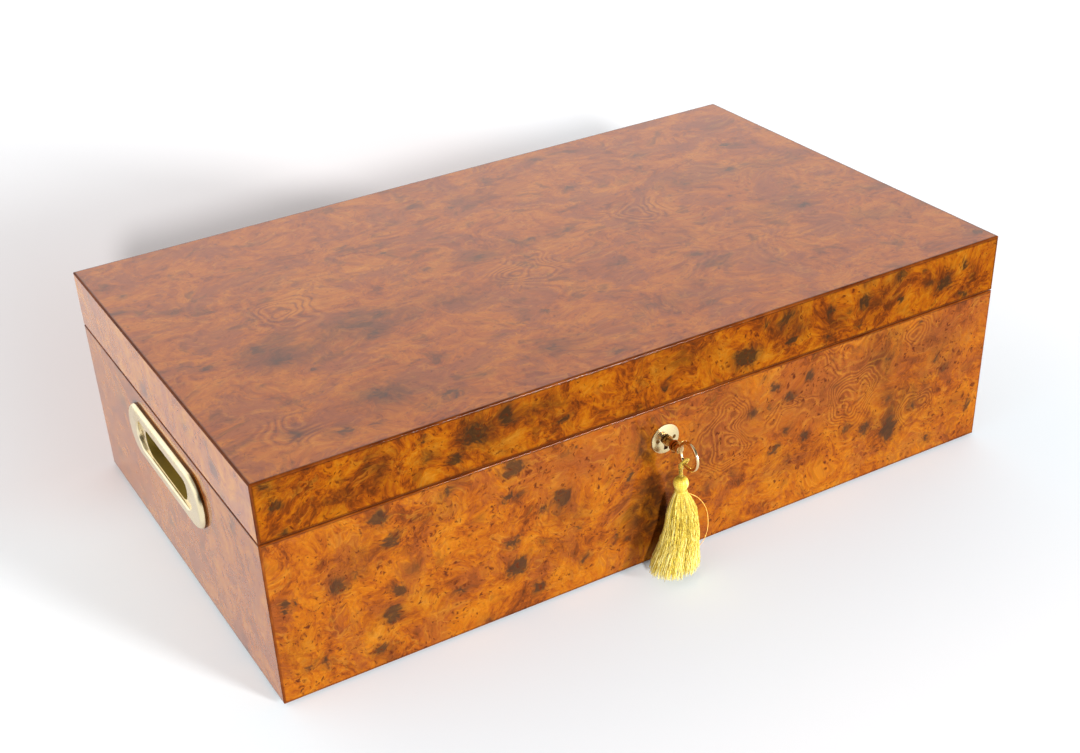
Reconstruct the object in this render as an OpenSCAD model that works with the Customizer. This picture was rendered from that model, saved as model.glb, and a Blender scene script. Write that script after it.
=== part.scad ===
// Burl veneered humidor with flush side handles, a box lock with its key and
// tassel, quadrant hinges and a Spanish cedar interior.
// Origin: centre of the felt's underside. +X to the right seen from the front,
// the front faces -Y, +Z up. Millimetres.

/* [Case] */
// Overall width across the front
case_w = 480; // [460:1:520]
// Overall depth from front to back
case_d = 285; // [275:1:310]
// Overall height with the lid closed
case_h = 138.5; // [138:0.5:150]
// Height of the seam between case and lid
seam_z = 103; // [102.5:0.5:106]
// Width of the closed seam
seam_gap = 0.7; // [0.6:0.1:1]
// Radius on the outer edges
edge_r = 1.2; // [0.6:0.1:1.4]
// Radius on the two edges at the seam
seam_r = 0.7; // [0.3:0.1:0.8]
// Thickness of the burl veneer with its lacquer
veneer_t = 0.8; // [0.6:0.1:1]
// Thickness of the case walls under the veneer
wall_t = 14.2; // [14:0.1:15]
// Thickness of the bottom board
base_t = 9; // [6:0.5:12]
// Thickness of the felt under the case
felt_t = 1.2; // [0.8:0.1:2]

/* [Cedar lining] */
// Thickness of the upright cedar liners
liner_t = 5; // [4:0.5:6]
// Height of the sealing lip above the case rim
lip_h = 7; // [5:0.5:7]
// Thickness of the cedar floor and of the cedar lid panel
cedar_t = 4; // [3:0.5:5]
// Distance of each divider from the middle
divider_x = 120; // [118:1:150]
// Thickness of a divider
divider_t = 5; // [4:0.5:6]

/* [Side handles] */
// Length of the handle flange
handle_l = 120; // [112:1:130]
// Height of the handle flange
handle_w = 34; // [32:0.5:37]
// How far the flange stands proud
handle_proud = 3.6; // [3:0.1:4.2]
// Distance of the handle's middle below the seam
handle_drop = 27.4; // [24:0.2:34]

/* [Lock and key] */
// Distance of the key's axis below the seam
key_drop = 22.1; // [22:0.1:22.3]
// Diameter of the escutcheon
escutcheon_d = 18; // [17:0.5:22]
// Outer diameter of the key's ring
ring_d = 18; // [17:0.5:18.5]
// Travel of the bolt
bolt_travel = 6; // [6:0.1:6.2]

/* [Hinges] */
// Radius of the hinge barrels
barrel_r = 3; // [2.6:0.1:3]
// Radius of the quadrant stays at mid width
stay_r = 26; // [25:0.5:26]
// Half the angle that a stay spans
stay_half = 56; // [56:1:57]

/* [Inside the lid] */
// Outer diameter of the hygrometer bezel
hygro_d = 58; // [56:1:64]
// Length of the humidifier
humid_l = 180; // [150:5:180]
// Width of the humidifier
humid_w = 60; // [50:1:64]

/* [Hidden] */
$fn = 72;

hw = case_w / 2;
hd = case_d / 2;
cx = hw - veneer_t;            // outer faces of the wall cores
cy = hd - veneer_t;
ix = cx - wall_t;              // inner faces of the wall cores
iy = cy - wall_t;
rim = seam_z - seam_gap / 2;   // top of the case
lid_z = seam_z + seam_gap / 2; // underside of the lid
lrx = ix + 0.5;                // inner faces of the lid rails
lry = iy + 0.5;
top_t = 10;
rail_top = case_h - veneer_t - top_t;
ceil_z = rail_top - cedar_t;   // underside of the cedar lid panel
floor_z = felt_t + base_t + cedar_t;
lip_z = rim + lip_h;

plate_t = 1.5;                 // hinge leaves, lock faceplate and link plate
ax_y = hd + 0.5;               // hinge axis
ax_z = seam_z;
barrel_x0 = hw - 3;
knuckle_l = 8;
pin_r = 1.25;
notch_r = barrel_r + 0.4;
stay_x = hw - 7.5;
stay_w = 5;
slot_y0 = ax_y - stay_r - stay_w / 2 - 0.7;
slot_y1 = ax_y - stay_r + stay_w / 2 + 0.7;
leaf_side = [[stay_x, ax_y - 65], [stay_x, ax_y - 43]];
leaf_back = [[hw - 26, hd - 6.3], [hw - 44, hd - 6.3]];

zk = seam_z - key_drop;        // key axis
zh = seam_z - handle_drop;     // handle axis
lock_y0 = -hd + 5;             // outside of the lock's front plate
lock_y1 = lock_y0 + 9;         // outside of its back plate
lock_hx = 27.2;
lock_z0 = zk - 16.9;
lock_top = rim - plate_t;
face_hx = 36;
link_hx = 30;
eye_x = 14;
eye_y0 = lock_y0 + 1.9;
eye_y1 = lock_y0 + 7.3;
bolt_y0 = lock_y0 + 3;
bolt_y1 = lock_y0 + 6;
bar_z0 = zk + 5.6;
finger_z0 = seam_z - 10.5;
crank = bolt_travel / 2;       // crank pin's offset each way at rest

cup_y = -hd - 22.6;            // middle of the key's ring
ring_r = ring_d / 2;
rim_w = 2.4;
rim_r = ring_r - rim_w / 2;
knot_y = cup_y + 6.9;
knot_z = zk - 10.2;
head_z = zk - 20.4;
head_r = 4.35;

hyg_y = -55;
hum_y = 65;

// ---------- shapes used more than once ----------

// A box given by its two corners
module block(a, b) {
    translate(a) cube([b[0] - a[0], b[1] - a[1], b[2] - a[2]]);
}

// What a convex edge loses to a radius: a square bar less its round
module edge_cut(r) {
    difference() {
        translate([-0.5, -0.5]) square(r + 0.5);
        translate([r, r]) circle(r);
    }
}

// Full outline of the box between two heights, with its edges rounded
module envelope(z0, z1, rb, rt) {
    difference() {
        block([-hw, -hd, z0], [hw, hd, z1]);
        for (sx = [-1, 1]) for (sy = [-1, 1])
            translate([sx * hw, sy * hd, z0 - 1])
                mirror([sx > 0 ? 1 : 0, 0, 0]) mirror([0, sy > 0 ? 1 : 0, 0])
                    linear_extrude(z1 - z0 + 2) edge_cut(edge_r);
        for (sy = [-1, 1]) mirror([0, sy > 0 ? 1 : 0, 0]) {
            translate([-hw - 1, -hd, z0]) rotate([90, 0, 90])
                linear_extrude(case_w + 2) edge_cut(rb);
            translate([-hw - 1, -hd, z1]) mirror([0, 0, 1]) rotate([90, 0, 90])
                linear_extrude(case_w + 2) edge_cut(rt);
        }
        for (sx = [-1, 1]) mirror([sx > 0 ? 1 : 0, 0, 0]) {
            translate([-hw, hd + 1, z0]) rotate([90, 0, 0])
                linear_extrude(case_d + 2) edge_cut(rb);
            translate([-hw, hd + 1, z1]) mirror([0, 0, 1]) rotate([90, 0, 0])
                linear_extrude(case_d + 2) edge_cut(rt);
        }
    }
}

// Wall running along X on the front, mitred at both ends
module x_wall(ox, oy, jx, jy, z0, z1) {
    translate([0, 0, z0]) linear_extrude(z1 - z0)
        polygon([[-ox, -oy], [ox, -oy], [jx, -jy], [-jx, -jy]]);
}

// Wall running along Y on the left, mitred at both ends
module y_wall(ox, oy, jx, jy, z0, z1) {
    translate([0, 0, z0]) linear_extrude(z1 - z0)
        polygon([[-ox, -oy], [-jx, -jy], [-jx, jy], [-ox, oy]]);
}

// Cylinder along X
module rod_x(x0, x1, y, z, r) {
    translate([x0, y, z]) rotate([0, 90, 0]) cylinder(h = x1 - x0, r = r);
}

// Cylinder along Y
module rod_y(y0, y1, x, z, r) {
    translate([x, y0, z]) rotate([-90, 0, 0]) cylinder(h = y1 - y0, r = r);
}

// Stadium outline along X, l from end to end and w across
module stadium(l, w) {
    square([l - w, w], center = true);
    for (s = [-1, 1]) translate([s * (l - w) / 2, 0]) circle(w / 2);
}

// A half profile swept round a stadium: straight in the middle, turned at the ends
module stadium_solid(l, w) {
    for (s = [-1, 1]) translate([s * (l - w) / 2, 0, 0]) rotate_extrude() children();
    translate([-(l - w) / 2, 0, 0]) rotate([90, 0, 90]) linear_extrude(l - w) {
        children();
        mirror([1, 0]) children();
    }
}

// Space for a countersunk screw, and the screw, head up at the origin
module screw_space(rh, rs, l) {
    translate([0, 0, -rh + rs]) cylinder(h = rh - rs, r1 = rs, r2 = rh);
    translate([0, 0, -l]) cylinder(h = l, r = rs);
}
module screw(rh, rs, l) {
    difference() {
        screw_space(rh, rs, l);
        translate([-rh, -0.35, -0.5]) cube([2 * rh, 0.7, 1]);
    }
}

// ---------- hinges, drawn for the left and mirrored for the right ----------

// Room for the barrel in wood, veneer and leaves of the other half
module barrel_room(r) {
    rod_x(-barrel_x0 - 0.3, -barrel_x0 + 5 * knuckle_l + 0.3, ax_y, ax_z, r);
}

// Room that a stay swings through below the case leaf or above the lid leaf
module stay_room(z0, z1) {
    intersection() {
        difference() {
            rod_x(-stay_x - 2.6, -stay_x + 2.6, ax_y, ax_z, stay_r + 3.7);
            rod_x(-stay_x - 3, -stay_x + 3, ax_y, ax_z, stay_r - 3.7);
        }
        block([-stay_x - 3, ax_y - 40, z0], [-stay_x + 3, ax_y - 12, z1]);
    }
}

// Flat L of a hinge leaf
module leaf_plate(z0) {
    block([-hw + 2.5, ax_y - 73, z0], [-hw + 12.5, hd, z0 + plate_t]);
    block([-hw + 2.5, hd - 10, z0], [-hw + 50, hd, z0 + plate_t]);
}

module leaf_screw_places() {
    for (p = leaf_side) translate([-p[0], p[1], 0]) children();
    for (p = leaf_back) translate([-p[0], p[1], 0]) children();
}

// A leaf with its knuckles; up = 1 for the case leaf, -1 for the lid leaf
module hinge_leaf(z0, mine, other, bore, up) {
    difference() {
        union() {
            difference() {
                leaf_plate(z0);
                for (k = other) rod_x(-barrel_x0 + k * knuckle_l - 0.15,
                    -barrel_x0 + (k + 1) * knuckle_l + 0.15, ax_y, ax_z, barrel_r + 0.3);
                block([-hw + 2, ax_y - barrel_r - 0.3, z0 - 1], [-barrel_x0, hd + 1, z0 + 3]);
                block([-stay_x - 1.1, slot_y0, z0 - 1], [-stay_x + 1.1, slot_y1, z0 + 3]);
            }
            for (k = mine) rod_x(-barrel_x0 + k * knuckle_l + (k == 0 ? 0 : 0.15),
                -barrel_x0 + (k + 1) * knuckle_l - (k == 4 ? 0 : 0.15), ax_y, ax_z, barrel_r);
        }
        rod_x(-barrel_x0 - 1, -barrel_x0 + 5 * knuckle_l + 1, ax_y, ax_z, bore);
        leaf_screw_places() translate([0, 0, up > 0 ? z0 + plate_t : z0])
            mirror([0, 0, up > 0 ? 0 : 1]) screw_space(2.2, 1.1, 12);
    }
}

module stay() {
    intersection() {
        difference() {
            rod_x(-stay_x - 0.75, -stay_x + 0.75, ax_y, ax_z, stay_r + stay_w / 2);
            rod_x(-stay_x - 1, -stay_x + 1, ax_y, ax_z, stay_r - stay_w / 2);
        }
        translate([-stay_x - 2, ax_y, ax_z]) rotate([90, 0, 90]) linear_extrude(4)
            polygon([[0, 0],
                [-60 * cos(stay_half), 60 * sin(stay_half)],
                [-60, 60 * sin(stay_half)], [-60, -60 * sin(stay_half)],
                [-60 * cos(stay_half), -60 * sin(stay_half)]]);
    }
    for (s = [-1, 1]) {
        rod_x(-stay_x - 0.75, -stay_x + 0.75, ax_y - stay_r * cos(stay_half),
            ax_z + s * stay_r * sin(stay_half), stay_w / 2);
        rod_x(-stay_x - 2.2, -stay_x + 2.2, ax_y - stay_r * cos(stay_half),
            ax_z + s * stay_r * sin(stay_half), 1.5);
    }
}

// Mortise for the L of a leaf and everything below it
module case_hinge_cut() {
    leaf_plate(rim - plate_t);
    block([-hw + 2.5, ax_y - 73, rim], [-hw + 50, hd + 1, rim + 1]);
    barrel_room(notch_r);
    stay_room(seam_z - 40, rim - plate_t + 0.01);
    leaf_screw_places() translate([0, 0, rim]) screw_space(2.2, 1.1, 12);
}
module lid_hinge_cut() {
    leaf_plate(lid_z);
    barrel_room(notch_r);
    stay_room(lid_z + plate_t - 0.01, rail_top);
    leaf_screw_places() translate([0, 0, lid_z]) mirror([0, 0, 1]) screw_space(2.2, 1.1, 12);
}

module both() {
    children();
    mirror([1, 0, 0]) children();
}

// ---------- case ----------

module keyhole(r, w, drop, y0, y1) {
    rod_y(y0, y1, 0, zk, r);
    block([-w / 2, y0, zk - drop], [w / 2, y1, zk]);
}

module front_wall() {
    color([0.62, 0.42, 0.22]) difference() {
        x_wall(cx, cy, ix, iy, felt_t, rim);
        block([-lock_hx, lock_y0, lock_z0], [lock_hx, lock_y1, rim + 1]);
        block([-face_hx, lock_y0 - 1.5, lock_top], [face_hx, lock_y1 + 0.5, rim + 1]);
        keyhole(3.2, 3, 7.2, -hd, lock_y0 + 1);
        for (s = [-1, 1]) {
            translate([s * 5.5, -hd - 0.9, zk]) rotate([90, 0, 0]) screw_space(1.2, 0.6, 5.6);
            translate([s * 31.5, (lock_y0 + lock_y1) / 2 - 0.5, rim]) screw_space(2, 1, 12);
        }
    }
}
module back_wall() {
    color([0.62, 0.42, 0.22]) difference() {
        mirror([0, 1, 0]) x_wall(cx, cy, ix, iy, felt_t, rim);
        both() case_hinge_cut();
    }
}
module side_wall_left() {
    difference() {
        y_wall(cx, cy, ix, iy, felt_t, rim);
        case_hinge_cut();
        on_left() handle_room();
    }
}
module left_wall() { color([0.62, 0.42, 0.22]) side_wall_left(); }
module right_wall() { color([0.62, 0.42, 0.22]) mirror([1, 0, 0]) side_wall_left(); }
module base_panel() {
    color([0.66, 0.5, 0.32]) block([-ix, -iy, felt_t], [ix, iy, felt_t + base_t]);
}

// Four leaves: the front and back ones cover the ends of the side ones
module case_veneer() {
    color([0.72, 0.36, 0.1]) difference() {
        intersection() {
            envelope(felt_t, rim, seam_r, seam_r);
            union() {
                for (s = [-1, 1]) {
                    translate([0, s * (hd - veneer_t / 2), 0])
                        translate([-hw - 1, -veneer_t / 2 - (s < 0 ? 1 : 0), 0])
                            cube([case_w + 2, veneer_t + 1, case_h]);
                    translate([s * (hw - veneer_t / 2), 0, 0])
                        translate([-veneer_t / 2 - (s < 0 ? 1 : 0), -cy + 0.02, 0])
                            cube([veneer_t + 1, 2 * cy - 0.04, case_h]);
                }
            }
        }
        keyhole(3.2, 3, 7.2, -hd - 1, -cy + 1);
        both() {
            case_hinge_cut();
            on_left() handle_room();
        }
        for (s = [-1, 1]) translate([s * 5.5, -hd - 0.9, zk])
            rotate([90, 0, 0]) screw_space(1.2, 0.6, 5.6);
    }
}
module base_felt() {
    color([0.13, 0.12, 0.11]) block([-hw + 3, -hd + 3, 0], [hw - 3, hd - 3, felt_t]);
}

// ---------- cedar lining ----------

module cedar_front_liner() {
    color([0.78, 0.5, 0.33]) block([-ix, -iy, floor_z], [ix, -iy + liner_t, lip_z]);
}
module cedar_back_liner() {
    color([0.78, 0.5, 0.33]) block([-ix, iy - liner_t, floor_z], [ix, iy, lip_z]);
}
module cedar_left_liner() {
    color([0.78, 0.5, 0.33])
        block([-ix, -iy + liner_t, floor_z], [-ix + liner_t, iy - liner_t, lip_z]);
}
module cedar_right_liner() {
    color([0.78, 0.5, 0.33])
        block([ix - liner_t, -iy + liner_t, floor_z], [ix, iy - liner_t, lip_z]);
}
module cedar_floor() {
    color([0.8, 0.53, 0.36]) block([-ix, -iy, floor_z - cedar_t], [ix, iy, floor_z]);
}
module divider(x) {
    block([x - divider_t / 2, -iy + liner_t + 0.3, floor_z + 0.3],
        [x + divider_t / 2, iy - liner_t - 0.3, rim - 2.65]);
}
module left_divider() { color([0.8, 0.53, 0.36]) divider(-divider_x); }
module right_divider() { color([0.8, 0.53, 0.36]) divider(divider_x); }

// ---------- side handles ----------

// Local frame of a handle: X along it, Y up, Z outwards, 0 on the veneer's face
module on_left() {
    translate([-hw, 0, zh]) rotate([90, 0, -90]) children();
}
tray_l = 89; tray_w = 19.5; ledge_h = 1.6;
cup_l = 68; cup_w = 18; cup_d = 8.6; cup_t = 1.2;

// Half section of the flange: flat back, full round shoulder
module flange_half(w) {
    r = handle_proud - 0.8;
    square([w / 2, 0.8]);
    square([w / 2 - r, handle_proud]);
    intersection() {
        translate([w / 2 - r, 0.8]) circle(r);
        square([w, handle_proud]);
    }
}
// Half section of the shallow tray with its rounded lip
module tray_half() {
    translate([0, ledge_h]) square([tray_w / 2, 4]);
    difference() {
        translate([0, handle_proud - 1.4]) square([tray_w / 2 + 1.4, 4]);
        translate([tray_w / 2 + 1.4, handle_proud - 1.4]) circle(1.4);
        translate([tray_w / 2 + 1.4, handle_proud]) square([1, 3]);
    }
}
// Half section of the finger cup with a rounded floor
module cup_half() {
    translate([0, -cup_d + 3]) square([cup_w / 2, cup_d]);
    translate([0, -cup_d]) square([cup_w / 2 - 3, cup_d]);
    translate([cup_w / 2 - 3, -cup_d + 3]) circle(3);
}
module handle_body() {
    difference() {
        union() {
            stadium_solid(handle_l, handle_w) flange_half(handle_w);
            translate([0, 0, -cup_d - cup_t]) linear_extrude(cup_d + cup_t + 0.5)
                stadium(cup_l + 2 * cup_t, cup_w + 2 * cup_t);
        }
        stadium_solid(tray_l, tray_w) tray_half();
        stadium_solid(cup_l, cup_w) cup_half();
        for (s = [-1, 1]) translate([s * 39.2, 0, ledge_h]) screw_space(2.9, 1.5, 12);
    }
}
// What the wall and its veneer lose to the cup and its screws
module handle_room() {
    translate([0, 0, -cup_d - cup_t - 0.2]) linear_extrude(cup_d + cup_t + 2)
        stadium(cup_l + 2 * cup_t + 0.4, cup_w + 2 * cup_t + 0.4);
    for (s = [-1, 1]) translate([s * 39.2, 0, ledge_h]) screw_space(2.9, 1.5, 12);
}
module left_handle() { color([0.86, 0.76, 0.45]) on_left() handle_body(); }
module right_handle() { color([0.86, 0.76, 0.45]) mirror([1, 0, 0]) on_left() handle_body(); }
module handle_screws() {
    color([0.7, 0.6, 0.35]) both() on_left()
        for (s = [-1, 1]) translate([s * 39.2, 0, ledge_h]) rotate([0, 0, 35 * s]) screw(2.9, 1.5, 12);
}

// ---------- lock ----------

module lock_case() {
    color([0.75, 0.65, 0.4]) {
        difference() {
            block([-lock_hx, lock_y0, lock_z0], [lock_hx, lock_y1, lock_top]);
            block([-lock_hx + 1.2, lock_y0 + 1.2, lock_z0 + 1.2],
                [lock_hx - 1.2, lock_y1 - 1.2, lock_top + 1]);
            rod_y(lock_y0 - 1, lock_y0 + 2, 0, zk, 8);
            rod_y(lock_y1 - 2, lock_y1 + 1, 0, zk, 1.2);
        }
        rod_y(bolt_y0 - 0.3, lock_y1 - 1, 10, bar_z0 + 2, 0.75);
    }
}
module face_screw_places() {
    for (s = [-1, 1]) translate([s * 31.5, (lock_y0 + lock_y1) / 2 - 0.5, 0]) children();
}
module lock_faceplate() {
    color([0.86, 0.76, 0.45]) difference() {
        block([-face_hx, lock_y0 - 1.5, lock_top], [face_hx, lock_y1 + 0.5, rim]);
        for (s = [-1, 1])
            block([s * eye_x - 1.5, lock_y0 + 1, lock_top - 1], [s * eye_x + 1.5, lock_y1 - 1.1, rim + 1]);
        face_screw_places() translate([0, 0, rim]) screw_space(2, 1, 12);
    }
}
module lock_post() {
    color([0.6, 0.6, 0.62]) rod_y(lock_y0 - 2, lock_y1, 0, zk, 1.2);
}
// Turns with the key; its crank pin drives the bolt
module lock_curtain() {
    color([0.8, 0.7, 0.42]) {
        difference() {
            union() {
                rod_y(lock_y0 + 0.05, lock_y0 + 1.4, 0, zk, 7.94);
                rod_y(lock_y0 + 1.3, lock_y0 + 2.7, 0, zk, 9);
            }
            keyhole(2.55, 2.1, 6.5, lock_y0 - 1, lock_y0 + 4);
        }
        rod_y(lock_y0 + 2.6, bolt_y1 - 0.2, crank, zk + crank, 1);
    }
}
module lock_bolt() {
    color([0.66, 0.66, 0.68]) difference() {
        union() {
            block([-6.5, bolt_y0, bar_z0], [25.5, bolt_y1, bar_z0 + 4]);
            block([-6.5, bolt_y0, bar_z0], [-2.5, bolt_y1, finger_z0 + 4]);
            block([21.5, bolt_y0, bar_z0], [25.5, bolt_y1, finger_z0 + 4]);
            block([-eye_x + 1.5, bolt_y0, finger_z0], [-2.5, bolt_y1, finger_z0 + 4]);
            block([eye_x + 1.5, bolt_y0, finger_z0], [25.5, bolt_y1, finger_z0 + 4]);
            block([crank - 2.8, bolt_y0, zk + 2.8], [crank + 2.8, bolt_y1, bar_z0 + 1]);
        }
        block([crank - 1.2, bolt_y0 - 1, zk + 2], [crank + 1.2, bolt_y1 + 1, bar_z0 + 0.1]);
        block([9, bolt_y0 - 1, bar_z0 + 1.15], [17, bolt_y1 + 1, bar_z0 + 2.85]);
    }
}
module escutcheon() {
    big = 45.45;
    color([0.86, 0.76, 0.45]) difference() {
        translate([0, -hd, zk]) rotate([90, 0, 0]) rotate_extrude() {
            square([escutcheon_d / 2, 0.5]);
            intersection() {
                translate([0, 1.4 - big]) circle(big, $fn = 360);
                square([escutcheon_d / 2 - 0.15, 3]);
            }
        }
        keyhole(2.9, 2.6, 6.6, -hd - 3, -hd + 1);
        for (s = [-1, 1]) translate([s * 5.5, -hd - 0.9, zk])
            rotate([90, 0, 0]) {
                screw_space(1.2, 0.6, 5.6);
                cylinder(h = 2, r = 1.2);
            }
    }
}
module escutcheon_screws() {
    color([0.4, 0.34, 0.22]) for (s = [-1, 1]) translate([s * 5.5, -hd - 0.9, zk])
        rotate([90, 0, 0]) difference() {
            screw_space(1.2, 0.6, 5.6);
            rotate([0, 0, 50 * s]) translate([-2, -0.18, -0.3]) cube([4, 0.36, 1]);
        }
}

// ---------- key ----------

module rounded_bar(w, h, r) {
    square([w - 2 * r, h], center = true);
    square([w, h - 2 * r], center = true);
    for (sx = [-1, 1]) for (sy = [-1, 1])
        translate([sx * (w / 2 - r), sy * (h / 2 - r)]) circle(r);
}
key_tip = lock_y1 - 1.4;
module key() {
    color([0.84, 0.72, 0.4]) difference() {
        union() {
            rod_y(cup_y + ring_r - 1, key_tip, 0, zk, 2.4);
            rod_y(-hd - 3.6, -hd - 2.4, 0, zk, 3.1);
            rod_y(-hd - 9.9, -hd - 8.5, 0, zk, 3.3);
            rod_y(-hd - 11.4, -hd - 10.5, 0, zk, 2.9);
            block([-0.9, lock_y0 + 1.5, zk - 6.2], [0.9, lock_y1 - 1.9, zk - 1.5]);
            translate([0, cup_y, zk]) rotate([0, 90, 0]) rotate_extrude()
                translate([rim_r, 0]) rounded_bar(rim_w, 1.8, 0.75);
        }
        rod_y(lock_y0 - 3.5, key_tip + 1, 0, zk, 1.35);
        block([-2, lock_y0 + 4.2, zk - 7], [2, lock_y0 + 5, zk - 4.6]);
    }
}

// ---------- tassel ----------

function vsub(a, b) = [a[0] - b[0], a[1] - b[1], a[2] - b[2]];
function vlen(a) = sqrt(a * a);
function unit(a) = a / vlen(a);
function tang(p, i) = unit(vsub(p[min(i + 1, len(p) - 1)], p[max(i - 1, 0)]));
// Frames carried along the route without twist
function side(t, u) = unit(u - (u * t) * t);
function sides(p, u, i = 0) = i >= len(p) ? [] :
    let (s = side(tang(p, i), u)) concat([s], sides(p, s, i + 1));
function smooth(p, i, t) = let (n = len(p) - 1,
        a = p[max(i - 1, 0)], b = p[i], c = p[min(i + 1, n)], d = p[min(i + 2, n)])
    0.5 * ((2 * b) + (c - a) * t + (2 * a - 5 * b + 4 * c - d) * t * t
        + (3 * b - a - 3 * c + d) * t * t * t);
function dense(p, k) = concat([for (i = [0 : len(p) - 2]) for (j = [0 : k - 1])
    smooth(p, i, j / k)], [p[len(p) - 1]]);
// Round tube along a route
module tube(p, r, n, up) {
    s = sides(p, up);
    m = len(p);
    pts = [for (i = [0 : m - 1]) let (t = tang(p, i), a = s[i], b = cross(t, a))
        for (j = [0 : n - 1]) p[i] + r * (cos(360 * j / n) * a + sin(360 * j / n) * b)];
    faces = concat([[for (j = [0 : n - 1]) j]],
        [for (i = [0 : m - 2]) for (j = [0 : n - 1])
            [i * n + j, (i + 1) * n + j, (i + 1) * n + (j + 1) % n, i * n + (j + 1) % n]],
        [[for (j = [n - 1 : -1 : 0]) (m - 1) * n + j]]);
    polyhedron(pts, faces);
}

// The silk loop hitched round the ring: how far to the side, and how far from
// the knot towards the ring's middle
loop_xd = [[-1.2, 1.5], [-1.65, 2.4], [-1.95, 3.4], [-2.05, 4.9], [-1.9, 6.5],
           [-1.25, 7.9], [0, 8.5], [1.25, 7.9], [1.9, 6.5],
           [2.05, 4.9], [1.95, 3.4], [1.65, 2.4], [1.2, 1.5]];
to_ring = [0, cup_y - knot_y, zk - knot_z];
loop_pts = [for (p = loop_xd) [p[0], 0, 0] + p[1] * to_ring / norm(to_ring)];
module tassel_cord_loop() {
    color([0.86, 0.74, 0.3]) translate([0, knot_y, knot_z]) {
        tube(dense(loop_pts, 3), 0.85, 8, [0, 1, 0]);
    }
}
module tassel_cord() {
    color([0.86, 0.74, 0.3]) translate([0, knot_y, head_z]) {
        cylinder(h = knot_z - head_z - 4.2, r = 1.5);
        translate([0, 0, knot_z - head_z - 4.2]) cylinder(h = 1.6, r1 = 1.5, r2 = 0.6);
        translate([0, 0, knot_z - head_z - 2.6]) cylinder(h = 1.5, r = 0.6);
        translate([0, 0, knot_z - head_z]) sphere(1.7);
    }
}
module tassel_head() {
    color([0.88, 0.76, 0.32]) translate([0, knot_y, head_z]) difference() {
        translate([0, 0, -0.5]) sphere(head_r);
        cylinder(h = 10, r = 1.5);
    }
}
// Skirt: centre x, centre y, height, half width, half depth, seen from the head
skirt_rings = [[0, -0.1, -5.6, 3.4, 3.2], [-0.1, -0.2, -6.9, 3.9, 3.5],
    [0.05, -0.3, -10.5, 6, 5.1], [0.6, -0.6, -18.5, 9, 7.6],
    [0.3, -0.9, -30.5, 10.6, 8.9], [-2.2, -1.2, -42.5, 12.6, 10.6],
    [-3.8, -1.4, -50, 14.2, 11.9], [-4.7, -1.5, -56, 15.2, 12.6]];
module tassel_skirt() {
    n = 24;
    m = len(skirt_rings);
    pts = [for (g = skirt_rings) for (j = [0 : n - 1])
        [g[0] + g[3] * cos(360 * j / n), g[1] + g[4] * sin(360 * j / n), g[2]]];
    faces = concat([[for (j = [0 : n - 1]) j]],
        [for (i = [0 : m - 2]) for (j = [0 : n - 1])
            [i * n + j, (i + 1) * n + j, (i + 1) * n + (j + 1) % n, i * n + (j + 1) % n]],
        [[for (j = [n - 1 : -1 : 0]) (m - 1) * n + j]]);
    color([0.9, 0.8, 0.38]) translate([0, knot_y, head_z]) polyhedron(pts, faces);
}
// A stray thread that bows out of the skirt's right side
thread_pts = [[4.9, -0.3, -9.2], [7, -0.3, -10.6], [12.2, -0.5, -15.2],
    [16.6, -1.2, -22.7], [17.5, -2.4, -30.2], [16.3, -3.8, -36],
    [13.4, -5.2, -40.3], [10.9, -6, -42.1], [8.4, -6.5, -43.3]];
module tassel_loose_thread() {
    color([0.92, 0.7, 0.3]) translate([0, knot_y, head_z])
        tube(dense(thread_pts, 4), 0.3, 8, [0, 1, 0]);
}

// ---------- hinge pieces ----------

module left_hinge_case_leaf() {
    color([0.86, 0.76, 0.45]) hinge_leaf(rim - plate_t, [0, 2, 4], [1, 3], pin_r, 1);
}
module right_hinge_case_leaf() {
    color([0.86, 0.76, 0.45]) mirror([1, 0, 0])
        hinge_leaf(rim - plate_t, [0, 2, 4], [1, 3], pin_r, 1);
}
module left_hinge_lid_leaf() {
    color([0.86, 0.76, 0.45]) hinge_leaf(lid_z, [1, 3], [0, 2, 4], pin_r + 0.05, -1);
}
module right_hinge_lid_leaf() {
    color([0.86, 0.76, 0.45]) mirror([1, 0, 0])
        hinge_leaf(lid_z, [1, 3], [0, 2, 4], pin_r + 0.05, -1);
}
module hinge_pins() {
    color([0.8, 0.7, 0.42]) both()
        rod_x(-barrel_x0 + 0.1, -barrel_x0 + 5 * knuckle_l - 0.1, ax_y, ax_z, pin_r);
}
module left_hinge_stay() { color([0.86, 0.76, 0.45]) stay(); }
module right_hinge_stay() { color([0.86, 0.76, 0.45]) mirror([1, 0, 0]) stay(); }
module case_screws() {
    color([0.8, 0.7, 0.42]) {
        both() leaf_screw_places() translate([0, 0, rim]) screw(2.2, 1.1, 12);
        face_screw_places() translate([0, 0, rim]) screw(2, 1, 12);
    }
}

// ---------- lid ----------

module lid_top_panel() {
    color([0.66, 0.46, 0.25]) difference() {
        block([-cx, -cy, rail_top], [cx, cy, case_h - veneer_t]);
        translate([0, hyg_y, rail_top - 1]) cylinder(h = 6.6, r = 25);
    }
}
module lid_front_rail() {
    color([0.62, 0.42, 0.22]) difference() {
        x_wall(cx, cy, lrx, lry, lid_z, rail_top);
        block([-link_hx, lock_y0 - 1.5, lid_z - 1], [link_hx, lock_y1 + 0.4, lid_z + plate_t]);
        link_screw_places() translate([0, 0, lid_z]) mirror([0, 0, 1]) screw_space(2, 1, 12);
    }
}
module lid_back_rail() {
    color([0.62, 0.42, 0.22]) difference() {
        mirror([0, 1, 0]) x_wall(cx, cy, lrx, lry, lid_z, rail_top);
        both() lid_hinge_cut();
    }
}
module lid_side_rail() {
    difference() {
        y_wall(cx, cy, lrx, lry, lid_z, rail_top);
        lid_hinge_cut();
    }
}
module lid_left_rail() { color([0.62, 0.42, 0.22]) lid_side_rail(); }
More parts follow.
